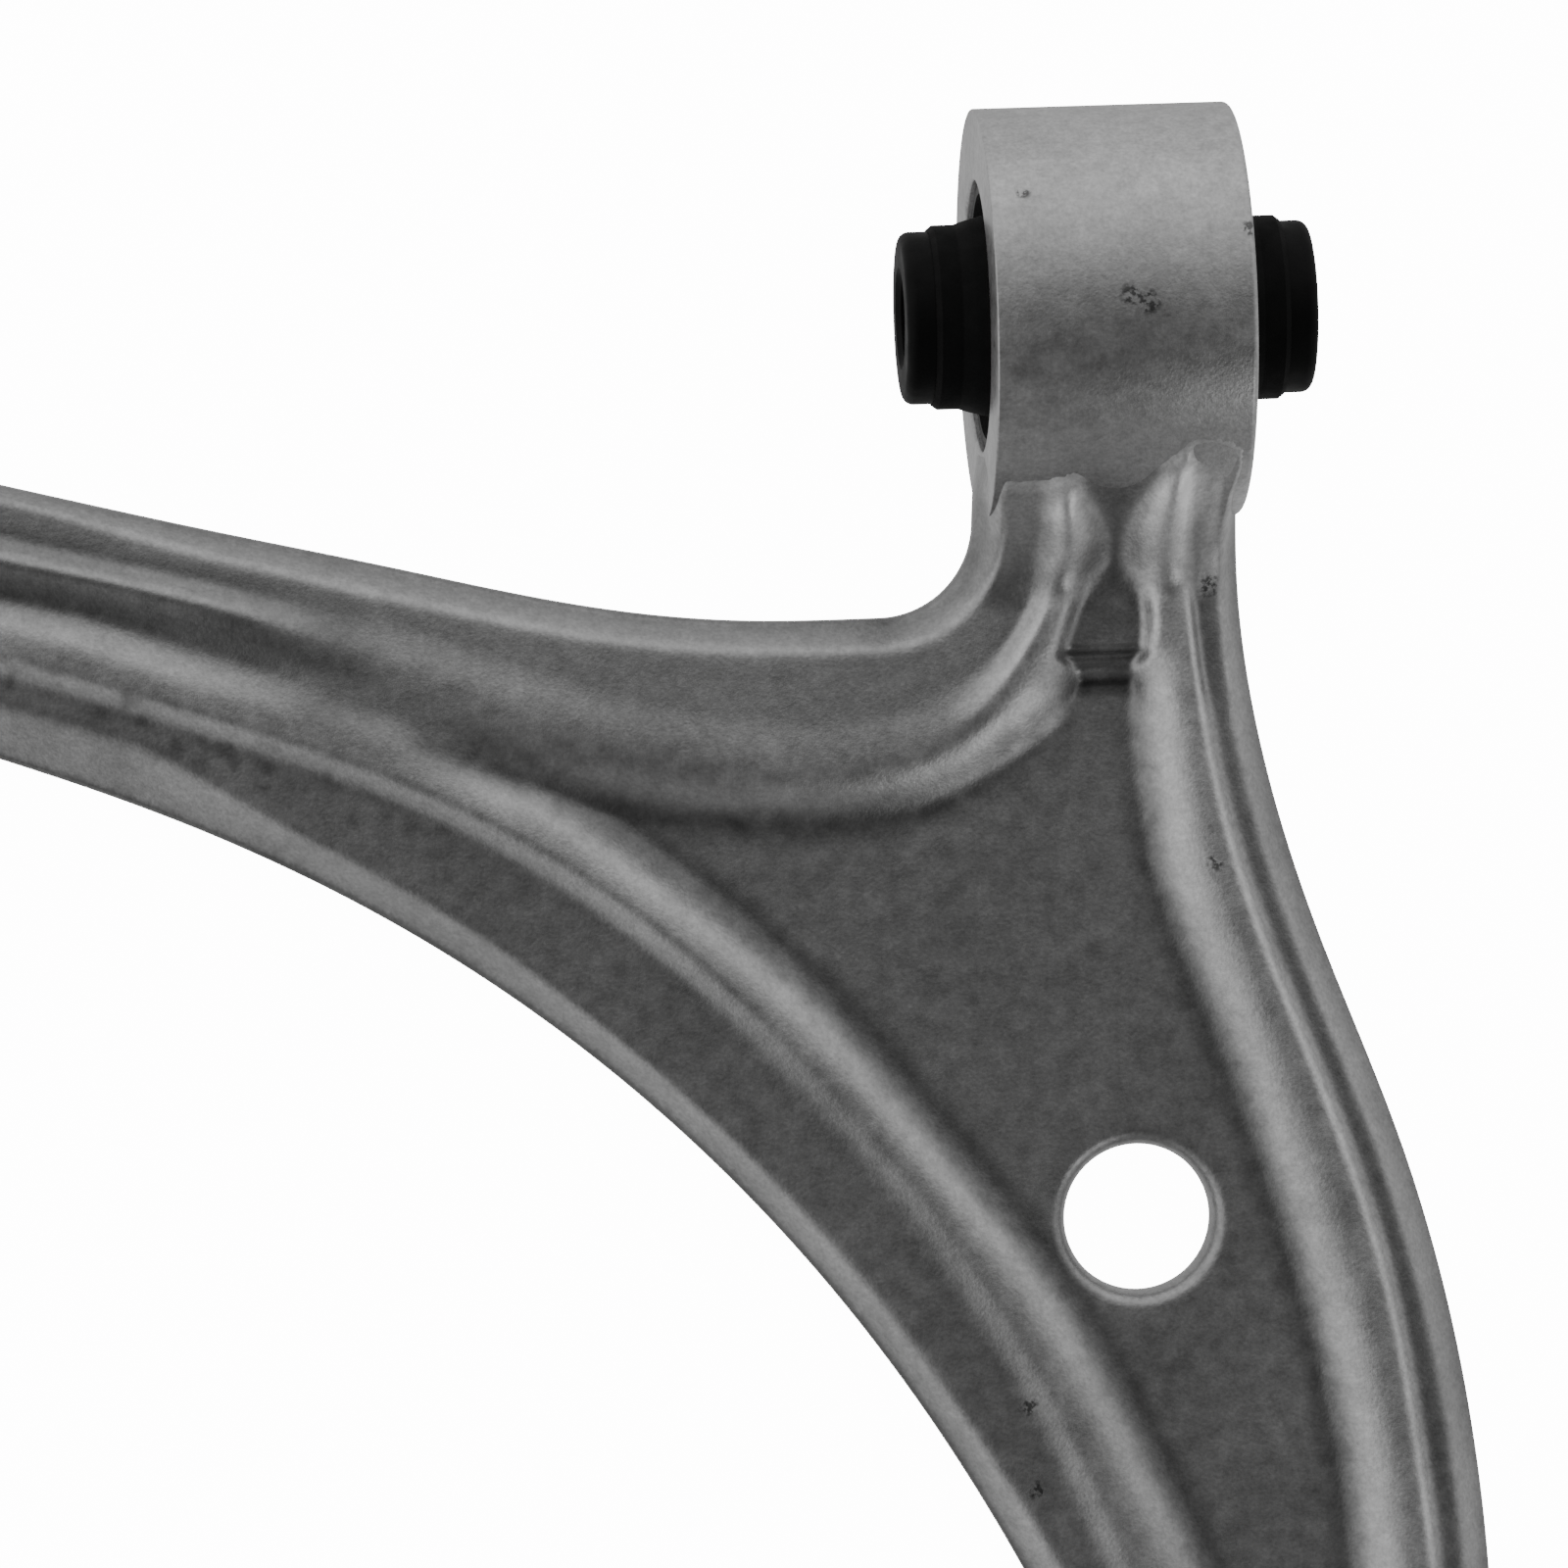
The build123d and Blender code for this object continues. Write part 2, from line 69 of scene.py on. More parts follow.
# Everything is in mm in the row frame until a mesh is made: X to the car's front along the front
# bush, Y inboard, Z up from the forging's parting plane.

# ---------------------------------------------------------------- forging: sizes and plan curves
FLANGE_H, RIB_H, WEB_H = 6.5, 9.4, 3.9
FLASH_H = 0.9  # half height of the drafted side's foot, at the parting line
SEAM_H, SEAM_OUT = 0.45, 0.22  # half height of the trimmed flash, and how far it stands out
BOSS_R, BOSS_W, BORE_R = 31.65, 39.3, 20.75
REAR, REAR_R, REAR_BORE, REAR_H = (-262.0, -19.0), 40.0, 31.5, 24.0
BALL, BALL_BOSS_R, SEAT_R = (34.0, -322.0), 29.0, 22.0
BALL_BOSS_Z = (-21.0, 6.5)
HOLE, HOLE_R, HOLE_MOUTH = (0.9, -139.1), 11.3, 13.9  # the lip meets the web at the mouth
HOLE_EDGE_H = 0.9  # half height of the lip at the hole

INBOARD = [(-238, -3), (-200, -13), (-169, -21), (-140, -28.4), (-110, -35.6), (-81, -42.4),
           (-58, -45.4), (-36, -45.8)]
FRONT = [(19.4, -24), (19.0, -42), (21.7, -65.6), (30, -96), (41.3, -127), (49.3, -157.6),
         (53.4, -188), (54.3, -222), (53, -262), (53, -304)]
OUTBOARD = [(-238, -45.5), (-200, -53), (-170.7, -62.2), (-144.3, -72.5), (-112.1, -89.2),
            (-82.8, -110.3), (-53.6, -139.3), (-31.4, -169.5), (-18.1, -192.7), (-4, -224),
            (7, -262), (12, -304)]
REAR_RIB = [(-236, -12.5), (-200, -21), (-169.4, -29.1), (-140.1, -36.6), (-110.7, -45.2),
            (-81.3, -56), (-60, -61.6), (-41.2, -62.7), (-28, -59.3), (-17.4, -50.5),
            (-12.6, -41), (-11.6, -33), (-10.9, -26), (-10.9, -10)]
FRONT_RIB = [(10.3, -10), (10.4, -24), (10.6, -31.5), (11.3, -40), (12.1, -50), (13.6, -62),
             (18.6, -86), (29.9, -118.3), (39.2, -148.9), (43.0, -171.8), (45.4, -193.2), (46.3, -225),
             (45, -262), (44, -300)]
OUTBOARD_RIB = [(-236, -35), (-200, -41.5), (-170.2, -49.5), (-140.9, -59.2), (-111.6, -70.5),
                (-82.4, -87.7), (-53.3, -114.3), (-28.7, -146.2), (-15.8, -169.4), (-6.6, -191),
                (5, -225), (15, -262), (22, -300)]
# pocket: its foot on the web, and its rim on the ribs
POCKET_FOOT = [
    [(-108, -61.6), (-96.5, -67.2), (-81.7, -71.5), (-66.8, -74.3), (-51.8, -75.6),
     (-36.8, -75.0), (-27.7, -72.7), (-17.0, -67.0), (-9.7, -62.1), (-7.2, -59.2), (-6.0, -56.0)],
    [(2.1, -56.0), (2.9, -64.4), (4.1, -76), (6.5, -89), (11.7, -103.5), (17.7, -121), (25.7, -148.7),
     (30.7, -171.7), (33.6, -200), (34.8, -228), (34.8, -262)],
    [(28, -262), (19, -222), (9.3, -193), (-0.8, -170.6), (-12.8, -148), (-27, -128.6),
     (-38, -114.4), (-52.5, -98.1), (-67.1, -84.8), (-81.7, -73.6), (-108, -61.6)],
]
POCKET_RIM = [
    [(-121, -55.0), (-110, -57.0), (-96.5, -60.6), (-81.7, -64.2), (-66.8, -67.2), (-51.8, -68.3),
     (-38, -67.6), (-27, -64.6), (-17.6, -59.9), (-12.9, -56.0), (-10.6, -52.6), (-7.5, -52.6)],
    [(3.8, -52.6), (6.4, -56.8), (8.4, -71.8), (11.8, -86.9), (16.8, -102.1), (22.2, -117.2),
     (30.2, -147.6), (35.2, -171), (38, -200), (39, -228), (39, -266)],
    [(26, -266), (14.5, -222), (2.6, -190.3), (-10.3, -168.6), (-24.6, -144.0), (-39.1, -122.4),
     (-53.5, -104.7), (-82.5, -79.2), (-110, -62.6), (-121, -55.0)],
]
NECK_FOOT = [(-5.9, -20), (-5.9, -26.6), (-2.9, -31.1), (-1.4, -34.4), (-1.4, -35.6), (-3.4, -38.2),
             (-4.7, -42.3), (-6.1, -45.6), (-7.4, -49.2), (-8.4, -51.8), (-6.3, -54.8), (-6.0, -58.5),
             (2.1, -58.5), (2.0, -54.6), (3.3, -52.0), (3.8, -47.1), (3.6, -44.1), (2.7, -40.3),
             (1.2, -36.8), (1.3, -32.6), (3.0, -28.8), (5.6, -24.5), (5.6, -20)]
NECK_RIM = [(-8.9, -20), (-8.8, -26.5), (-7.9, -30.9), (-6.6, -34.2), (-6.4, -36.5), (-7.7, -42.0),
            (-9.1, -46.5), (-11.0, -51.4), (-9.6, -54.6), (-9.4, -59.5), (5.2, -59.5), (4.6, -54.4),
            (5.9, -51.4), (5.9, -47.0), (5.3, -40.9), (4.2, -37.2), (4.3, -33.3), (5.9, -29.0),
            (8.2, -24.5), (8.2, -20)]
GROOVE = [(-117, -55.0), (-128, -50.5), (-140.4, -46.4), (-155, -41.4), (-169.8, -37.6),
          (-200, -29.8), (-238, -20.5)]
# where the bank down to the flange leaves the front boss
CREASE = [(-24, -25.3), (-19, -24.9), (-12, -25.0), (-9, -24.4), (-5.5, -22.5), (0, -22.0),
          (5, -22.0), (7.7, -21.5), (9.9, -19.6), (13, -19.2), (16, -20.0), (18.7, -21.6), (22, -23)]
NECK_LEFT, NECK_RIGHT = -19.55, 19.5  # just inside the front boss's end faces
CORNER, CORNER_R = (-36.0, -31.0), 14.8  # the round between the rear arm and the neck
INBOARD_END = [(-20.9, -27), (-20.1, -23.6), (NECK_LEFT, -21.2), (NECK_LEFT, -12)]
FRONT_START = [(NECK_RIGHT, -12), (NECK_RIGHT, -19)]

# values along the part, as (place, value); the place is -Y unless the name says X
SIDE_INBOARD = [(18, 0.7), (24, 1.2), (30, 2.8), (38, 3.9)]  # widths of the drafted sides
SIDE_FRONT = [(18, 0.6), (24, 0.8), (28, 2.2), (36, 3.2), (48, 3.3), (80, 3.8), (200, 4.2)]
SIDE_OUTBOARD_X = [(-240, 7.0), (-178, 7.6), (-165, 8.6), (-151, 9.2), (-139, 7.2), (-126, 5.4),
                   (-97, 4.9), (-83, 4.2), (-54, 3.8), (-27, 3.5), (-14, 4.0), (10, 4.0)]
RIB_SIDE_OUTBOARD = [(40, 3.0), (60, 3.0), (110, 3.6), (150, 3.6), (200, 3.4)]
RIB_SIDE_REAR, RIB_SIDE_FRONT = 2.2, 1.1
RIB_SIDE_MORE = 2.4  # the rear rib's side is this much wider where the rib is low
NECK_VALLEY = [(20, 24.4), (22, 22.6), (25, 19.2), (29, 14.2), (33, 10.2), (36.2, 7.6), (38.4, 6.6)]
GROOVE_HALF_X = [(-238, 2.0), (-200, 2.8), (-170, 4.2), (-140, 5.4), (-125, 5.0), (-112, 2.5)]
GROOVE_DEPTH_X = [(-238, 0.0), (-215, 1.8), (-170, 3.0), (-145, 3.0), (-128, 2.0), (-114, 0.0)]
NECK_STEPS = (-51.9, -56.5)  # the recess drops at these Y
NECK_FLOORS = (6.6, 5.2)  # its floor above the first step, and between the steps
# fillets up the walls of the other two bosses: centre, wall, radius, highest point
REAR_FILLET = (REAR, REAR_R, 7.0, REAR_H - 2.6)
BALL_FILLET = (BALL, BALL_BOSS_R, 5.0, 18.9)


def smooth(points, step=1.2):
    """A natural cubic spline through the points, as a polyline with that step."""
    p = np.array(points, float)
    if len(p) < 3:
        n = max(int(np.linalg.norm(p[1] - p[0]) / step), 1)
        return p[0] + (p[1] - p[0]) * np.linspace(0, 1, n + 1)[:, None]
    t = np.r_[0, np.cumsum(np.linalg.norm(np.diff(p, axis=0), axis=1))]
    h = np.diff(t)
    n = len(p)
    a = np.zeros((n, n))
    rhs = np.zeros((n, 2))
    a[0, 0] = a[-1, -1] = 1
    for i in range(1, n - 1):
        a[i, i - 1:i + 2] = h[i - 1], 2 * (h[i - 1] + h[i]), h[i]
        rhs[i] = 6 * ((p[i + 1] - p[i]) / h[i] - (p[i] - p[i - 1]) / h[i - 1])
    m = np.linalg.solve(a, rhs)
    s = np.linspace(0, t[-1], max(int(t[-1] / step), 2) + 1)
    i = np.clip(np.searchsorted(t, s, "right") - 1, 0, n - 2)
    u, v = (s - t[i])[:, None], (t[i + 1] - s)[:, None]
    hi = h[i][:, None]
    return ((m[i] * v**3 + m[i + 1] * u**3) / (6 * hi)
            + (p[i] / hi - m[i] * hi / 6) * v + (p[i + 1] / hi - m[i + 1] * hi / 6) * u)


def closed(*runs):
    """One closed polyline through the runs, its last point left out."""
    line = np.vstack([smooth(r) for r in runs])
    keep = np.r_[True, np.linalg.norm(np.diff(line, axis=0), axis=1) > 0.05]
    return line[keep]


def along(place, table):
    """The table's value at each place."""
    return np.interp(place, *np.array(table).T)


def arc(centre, r, start, end, step=1.0):
    """Points of an arc, its angles in degrees from X."""
    n = max(int(abs(math.radians(end - start)) * r / step), 2)
    t = np.radians(np.linspace(start, end, n + 1))
    return np.c_[centre[0] + r * np.cos(t), centre[1] + r * np.sin(t)]


# ---------------------------------------------------------------- forging: fields on a grid
STEP = 0.5
X0, Y0, X1, Y1 = -256.0, -324.0, 60.0, -12.0  # the grid's reach
FIELD_PAST = 4.0  # the fields go this far past the outline
BANK_ABOVE, BANK_SLOPE = 0.1, 0.98
BANK_END_X, BANK_END_SLOPE = -21, 1.5  # past its left end the bank falls away
EDGE_RISE, EDGE_RISE_MORE, RISE_WIDTH = 0.02, 0.06, 14  # the flange's slope, more on its inboard side
REAR_LOWER, OUTBOARD_LOWER, OUTBOARD_DROP = 1.6, 0.9, 0.3  # how much lower stretches of the ribs are
RIM_REACH = 12  # the pocket's surface is used up to this far outside its rim
SADDLE_DROP = 1.2  # the pocket's rear tip ends this far under the ribs
WALL_BOW, WALL_BOW_MORE = 2.0, 0.6  # how much the pocket's wall bulges, and more at the rear rib
NOTHING_LOW, NOTHING_HIGH = -50.0, 50.0  # heights that never win a maximum or a minimum
BANK_FILLET, EAR_FILLET, EAR_LIFT = 7.0, 6.0, 4.0
EAR_FOOT = -52  # the ears start to climb at this Y
TILE = 14  # distances are worked out for square tiles of points of this size
FINE, MIDDLE, WIDE, EARS, CAVITY, STAINS = 0.45, 0.7, 1.5, 1.8, 2.6, 0.8  # blurs
gx = np.arange(X0, X1, STEP)
gy = np.arange(Y0, Y1, STEP)
GX, GY = np.meshgrid(gx, gy, indexing="ij")


def inside(points, loop):
    """True where a point is inside the closed polyline: it crosses it an odd number of times."""
    x, y = points[:, 0][:, None], points[:, 1][:, None]
    a, b = loop, np.roll(loop, -1, axis=0)
    lo, hi = points[:, 1].min(), points[:, 1].max()
    near = (np.minimum(a[:, 1], b[:, 1]) <= hi) & (np.maximum(a[:, 1], b[:, 1]) >= lo)
    a, b = a[near], b[near]
    if not len(a):
        return np.zeros(len(points), bool)
    crosses = (a[:, 1] > y) != (b[:, 1] > y)
    with np.errstate(divide="ignore", invalid="ignore"):
        at = a[:, 0] + (y - a[:, 1]) * (b[:, 0] - a[:, 0]) / (b[:, 1] - a[:, 1])
    return (crosses & (x < at)).sum(1) % 2 == 1


def to_segments(p, a, b):
    """Distances from points to segments, and which side of each they are on."""
    d = b - a
    w = p[:, None] - a
    t = np.clip((w * d).sum(-1) / (d * d).sum(-1), 0, 1)
    off = w - t[..., None] * d
    return np.sqrt((off**2).sum(-1)), d[:, 0] * w[..., 1] - d[:, 1] * w[..., 0]


def signed(points, line, loop=False):
    """Distance to a polyline: positive on its left, or inside it if it is a loop.

    The points are taken in square tiles, each against the segments that can be nearest to it.
    """
    a = line if loop else line[:-1]
    b = np.roll(line, -1, axis=0) if loop else line[1:]
    out = np.empty(len(points))
    column, row = points[:, 0] // TILE, points[:, 1] // TILE
    order = np.lexsort((row, column))
    keys = column * 1e6 + row
    cuts = np.flatnonzero(np.diff(keys[order])) + 1
    for tile in np.split(order, cuts):
        p = points[tile]
        c = p.mean(0)
        far = np.sqrt(((p - c) ** 2).sum(1).max())
        reach = to_segments(c[None], a, b)[0][0]
        near = reach <= reach.min() + 2 * far + 0.01
        d, side = to_segments(p, a[near], b[near])
        k = d.argmin(1)
        rows = np.arange(len(p))
        if loop:
            sign = np.where(inside(p, line), 1.0, -1.0)
        else:
            sign = np.where(side[rows, k] >= 0, 1.0, -1.0)
        out[tile] = d[rows, k] * sign
    return out


def ramp(x, lo=0.0, hi=1.0):
    """0 up to lo, 1 from hi, smooth between."""
    t = np.clip((x - lo) / (hi - lo), 0, 1)
    return t * t * (3 - 2 * t)


def band(x, middle, none, full):
    """1 within full of the middle, 0 from none away."""
    return ramp(-np.abs(x - middle), -none, -full)


def smax(a, b, k):
    """The larger of two surfaces, with a fillet where they are within k of each other."""
    h = np.maximum(k - np.abs(a - b), 0) / k
    return np.maximum(a, b) + h * h * k / 4


def blur(z, sigma):
    """The grid blurred by a Gaussian of sigma mm."""
    r = int(3 * sigma / STEP) + 1
    k = np.exp(-0.5 * (np.arange(-r, r + 1) * STEP / sigma) ** 2)
    k /= k.sum()
    z = np.apply_along_axis(lambda v: np.convolve(np.pad(v, r, "edge"), k, "valid"), 0, z)
    return np.apply_along_axis(lambda v: np.convolve(np.pad(v, r, "edge"), k, "valid"), 1, z)


inboard_edge = np.vstack([smooth(INBOARD), arc(CORNER, CORNER_R, -90, 0)[1:], INBOARD_END])
front_edge = np.vstack([FRONT_START, smooth(FRONT)])
outboard_edge = smooth(OUTBOARD)
rear_rib, front_rib, outboard_rib = smooth(REAR_RIB), smooth(FRONT_RIB), smooth(OUTBOARD_RIB)
rim_line, foot_line = closed(*POCKET_RIM), closed(*POCKET_FOOT)
neck_rim, neck_foot = np.array(NECK_RIM, float), np.array(NECK_FOOT, float)

# d_: how far inside each edge a cell is. w_: the width of the drafted side there.
cells = np.c_[GX.ravel(), GY.ravel()]
d_in = -signed(cells, inboard_edge)
d_fr = -signed(cells, front_edge)
d_out = signed(cells, outboard_edge)
use = np.minimum(np.minimum(d_in, d_fr), d_out) > -FIELD_PAST
P = cells[use]
d_in, d_fr, d_out = d_in[use], d_fr[use], d_out[use]
x, y = P[:, 0], P[:, 1]
w_in, w_fr, w_out = along(-y, SIDE_INBOARD), along(-y, SIDE_FRONT), along(x, SIDE_OUTBOARD_X)

# s_: how far a cell is past each rib's outer foot, towards the pocket
s_rear = -signed(P, rear_rib)
s_front = -signed(P, front_rib)
s_outb = signed(P, outboard_rib)

# bank: the slope from the crease on the front boss down to the flange
crease = along(x, CREASE)
z_crease = np.sqrt(BOSS_R**2 - crease**2)
bank = z_crease + BANK_ABOVE - BANK_SLOPE * (crease - y)
bank -= BANK_END_SLOPE * np.maximum(BANK_END_X - x, 0)

# flange: rises a little from its edges to the ribs
to_edge = np.minimum(np.minimum(d_in - w_in, d_fr - w_fr), d_out - w_out)
on_inboard = ramp(d_out - d_in, -20, 20)
flange = FLANGE_H + (EDGE_RISE + EDGE_RISE_MORE * on_inboard) * np.clip(to_edge, 0, RISE_WIDTH)
flange = smax(flange, bank, BANK_FILLET)
draft = np.minimum(np.minimum(d_in / w_in, d_fr / w_fr), d_out / w_out)
z = FLASH_H + (flange - FLASH_H) * np.clip(draft, 0, 1)

# ribs: the rear one (low_a) and the outboard one (low_b) each have a lower stretch, and two of
# the ribs climb the front boss as ears
low_a = ramp(x, -140, -108) * ramp(-x, 14, 30) * ramp(-s_rear, -16, -12)
low_b = ramp(x, -75, -40) * ramp(-s_outb, -16, -12)
w_rear = RIB_SIDE_REAR + RIB_SIDE_MORE * low_a
w_outb = along(-y, RIB_SIDE_OUTBOARD)
w_front = RIB_SIDE_FRONT
side = np.minimum(np.minimum(s_rear / w_rear, s_front / w_front), s_outb / w_outb)
nearer_outboard = ramp(s_rear - s_outb, 0, 8)
crest = RIB_H - REAR_LOWER * low_a - OUTBOARD_LOWER * low_b - OUTBOARD_DROP * nearer_outboard
lift = EAR_LIFT * ramp(crease - 0.2 - y, 0, 6) * (1 - ramp(-y, 36, 45))
crest = smax(crest, np.where(y > EAR_FOOT, bank + lift, NOTHING_LOW), EAR_FILLET)
block = flange + (crest - flange) * np.clip(side, 0, 1)

# pocket: its wall is steepest at its foot and rounds over into the ribs, and its floor rises to a
# saddle at the rear tip
rim = signed(P, rim_line, True)
foot = signed(P, foot_line, True)
inner = np.minimum(np.minimum(s_rear - w_rear, s_front - w_front), s_outb - w_outb)
t = np.where(foot >= 0, 0.0, -foot / np.maximum(-foot + np.maximum(inner, 0.3), 0.5))
bow = WALL_BOW + WALL_BOW_MORE * ramp(s_rear - np.minimum(s_outb, s_front), 0, 8)
tip = ramp(-x, 74, 114)
floor_z = WEB_H + (RIB_H - SADDLE_DROP - WEB_H) * tip
pocket = floor_z + (crest - floor_z) * (1 - (1 - t) ** bow)
pocket = np.where(rim > -RIM_REACH, pocket, NOTHING_HIGH)

# neck: a recess between the ears, with two steps down to the pocket
first, second = NECK_STEPS
lower_neck = np.where(y > first, NECK_FLOORS[0], np.where(y > second, NECK_FLOORS[1], WEB_H))
neck_floor = np.where(y > -38, along(-y, NECK_VALLEY), lower_neck)
to_rim, to_floor = signed(P, neck_rim, True), signed(P, neck_foot, True)
up_wall = np.where(to_rim <= 0, 1.0, -to_floor / np.maximum(to_rim - to_floor, 1e-6))
up_wall = np.where(to_floor >= 0, 0.0, up_wall)
neck = neck_floor + (np.maximum(crest, neck_floor) - neck_floor) * up_wall
neck = np.where(to_rim <= 0, NOTHING_HIGH, neck)

# groove along the rear arm
s_groove = np.abs(signed(P, smooth(GROOVE)))
g_half, g_depth = along(x, GROOVE_HALF_X), along(x, GROOVE_DEPTH_X)
groove = RIB_H - g_depth * np.clip(1 - s_groove / g_half, 0, 1) ** 0.8
groove = np.where(s_groove > g_half, NOTHING_HIGH, groove)

ribs = np.minimum(np.minimum(np.minimum(block, groove), neck), pocket)
z = np.where(side > 0, ribs, z)

Z = np.full(GX.shape, np.nan)
Z.ravel()[use] = z
holes = np.isnan(Z)
Z[holes] = 0.0
filled = (~holes).astype(float)


def softened(sigma):
    """The surface blurred by sigma mm, without pulling it down at its edge."""
    return blur(Z, sigma) / np.maximum(blur(filled, sigma), 1e-3)


def spread(values):
    """Values of the used cells on the whole grid."""
    out = np.zeros(GX.shape)
    out.ravel()[use] = values
    return out


# the die's corners: sharp in the neck, middling elsewhere, wide on the ribs' crowns and the ears
in_neck = spread(ramp(y, -62, -56) * ramp(x, -22, -16))
ears = spread(ramp(y, -46, -40) * ramp(-y, 21.5, 24) * ramp(-np.abs(x), -17, -14))
near_rib = spread(ramp(side, -1.0, 0.3) * ramp(-foot, -2, 3))
wide_zone = spread(ramp(-foot, -3, 0) * ramp(inner, 0, 3) + low_a * ramp(s_rear, -4, 0) + 0.7 * low_b)
fine, middle, wide = softened(FINE), softened(MIDDLE), softened(WIDE)
cavity = softened(CAVITY) - middle
softened_ears = softened(EARS)
stains = blur(rng.standard_normal(GX.shape), STAINS)
stains /= stains.std()
Z = middle + (wide - middle) * np.clip(wide_zone, 0, 1) * (1 - in_neck)
Z = Z + (fine - Z) * in_neck
Z = Z + (softened_ears - Z) * ears


def sample(field, p):
    """The grid's value at points, smoothly interpolated."""
    u = np.clip((p[:, 0] - X0) / STEP, 1, len(gx) - 3)
    v = np.clip((p[:, 1] - Y0) / STEP, 1, len(gy) - 3)
    i, j = u.astype(int), v.astype(int)
    fu, fv = (u - i)[:, None], (v - j)[:, None]

    def weights(f):
        return np.hstack([(-f + 2 * f**2 - f**3) / 2, (2 - 5 * f**2 + 3 * f**3) / 2,
                          (f + 4 * f**2 - 3 * f**3) / 2, (-(f**2) + f**3) / 2])

    wu, wv = weights(fu), weights(fv)
    total = np.zeros(len(p))
    for a in range(4):
        for b in range(4):
            total += wu[:, a] * wv[:, b] * field[i + a - 1, j + b - 1]
    return total


# ---------------------------------------------------------------- forging: the mesh
def outside(line, centre, r):
    """The polyline's points outside a circle."""
    far = np.hypot(line[:, 0] - centre[0], line[:, 1] - centre[1])
    return line[far > r]


# spacing of the mesh's points
OUTLINE_STEP, HOLE_STEP, COARSE, CLOSE, WOBBLE = 0.8, 0.6, 0.85, 0.5, 0.04
FIRST_ROW, CLEAR_OUTLINE, CLEAR_HOLE = 0.42, 0.7, 3.2
LIP_RINGS = (0.3, 0.6, 0.95, 1.3, 1.7, 2.1, 2.6)
# the outline stops inside each boss, where a turned ring takes over
REAR_TRIM, BALL_TRIM, NECK_TRIM = 37.0, 26.0, -18.0
top = outside(inboard_edge, REAR, REAR_TRIM)
top = top[top[:, 1] < NECK_TRIM]
right = outside(front_edge, BALL, BALL_TRIM)
right = right[right[:, 1] < NECK_TRIM]
low = outside(outside(outboard_edge, BALL, BALL_TRIM), REAR, REAR_TRIM)[::-1]
across = np.c_[np.linspace(NECK_LEFT, NECK_RIGHT, 40), np.full(40, NECK_TRIM)][1:-1]


def angle_of(p, centre):
    """Degrees from X of the point, seen from the centre."""
    return math.degrees(math.atan2(p[1] - centre[1], p[0] - centre[0]))


def link(centre, r, start, end):
    """The arc inside a boss from one edge's end to the next edge's start."""
    return arc(centre, r, angle_of(start, centre), angle_of(end, centre))[1:-1]


def resampled(line, step):
    """The closed polyline with points about a step apart."""
    line = np.vstack([line, line[:1]])
    t = np.r_[0, np.cumsum(np.linalg.norm(np.diff(line, axis=0), axis=1))]
    s = np.linspace(0, t[-1], int(t[-1] / step) + 1)[:-1]
    return np.c_[np.interp(s, t, line[:, 0]), np.interp(s, t, line[:, 1])]


outline = np.vstack([top, across, right, link(BALL, BALL_TRIM, right[-1], low[0]), low,
                     link(REAR, REAR_TRIM, low[-1], top[0])])
outline = resampled(outline, OUTLINE_STEP)
hole_ring = arc(HOLE, HOLE_R, 0, 360, HOLE_STEP)[:-1]


def hexes(pitch):
    """A hexagonal grid of points, each a little off its place."""
    hx = np.arange(X0, X1, pitch)
    hy = np.arange(Y0, Y1, pitch * 0.866)  # rows of equal triangles
    h = np.array([(a + (k % 2) * pitch / 2, b) for k, b in enumerate(hy) for a in hx])
    return h + rng.uniform(-WOBBLE, WOBBLE, h.shape)


def right_of(line):
    """Unit vectors square to a closed polyline, to the right of its run."""
    run = np.roll(line, -1, axis=0) - np.roll(line, 1, axis=0)
    run /= np.linalg.norm(run, axis=1)[:, None]
    return np.c_[run[:, 1], -run[:, 0]]


# points: coarse over the arm, close in the neck, and rings round the hole's lip
NECK_Y, NECK_X, GAP = -62, -26, 0.3
coarse, close = hexes(COARSE), hexes(CLOSE)
close = close[(close[:, 1] > NECK_Y) & (close[:, 0] > NECK_X)]
coarse = coarse[~((coarse[:, 1] > NECK_Y - GAP) & (coarse[:, 0] > NECK_X - GAP))]
H = np.vstack([coarse, close])
d_h = signed(H, outline, True)
r_h = np.hypot(H[:, 0] - HOLE[0], H[:, 1] - HOLE[1])
H = H[(d_h > CLEAR_OUTLINE) & (r_h > HOLE_R + CLEAR_HOLE)]
rings = [arc(HOLE, HOLE_R + k, 0, 360, HOLE_STEP)[:-1] for k in LIP_RINGS]
just_inside = outline + FIRST_ROW * right_of(outline)  # the outline runs clockwise
n_out, n_hole = len(outline), len(hole_ring)
pts = np.vstack([outline, hole_ring, just_inside, *rings, H])
edges = [(i, (i + 1) % n_out) for i in range(n_out)]
edges += [(n_out + i, n_out + (i + 1) % n_hole) for i in range(n_hole)]
got = delaunay_2d_cdt([Vector(p) for p in pts], edges, [], 0, 1e-5)
verts2 = np.array([tuple(v) for v in got[0]])
tris = np.array(got[2])
mid = verts2[tris].mean(1)
ok = signed(mid, outline, True) > 0
ok &= np.hypot(mid[:, 0] - HOLE[0], mid[:, 1] - HOLE[1]) > HOLE_R * 0.9995
tris = tris[ok]
used = np.unique(tris)
index = -np.ones(len(verts2), int)
index[used] = np.arange(len(used))
verts2, tris = verts2[used], index[tris]


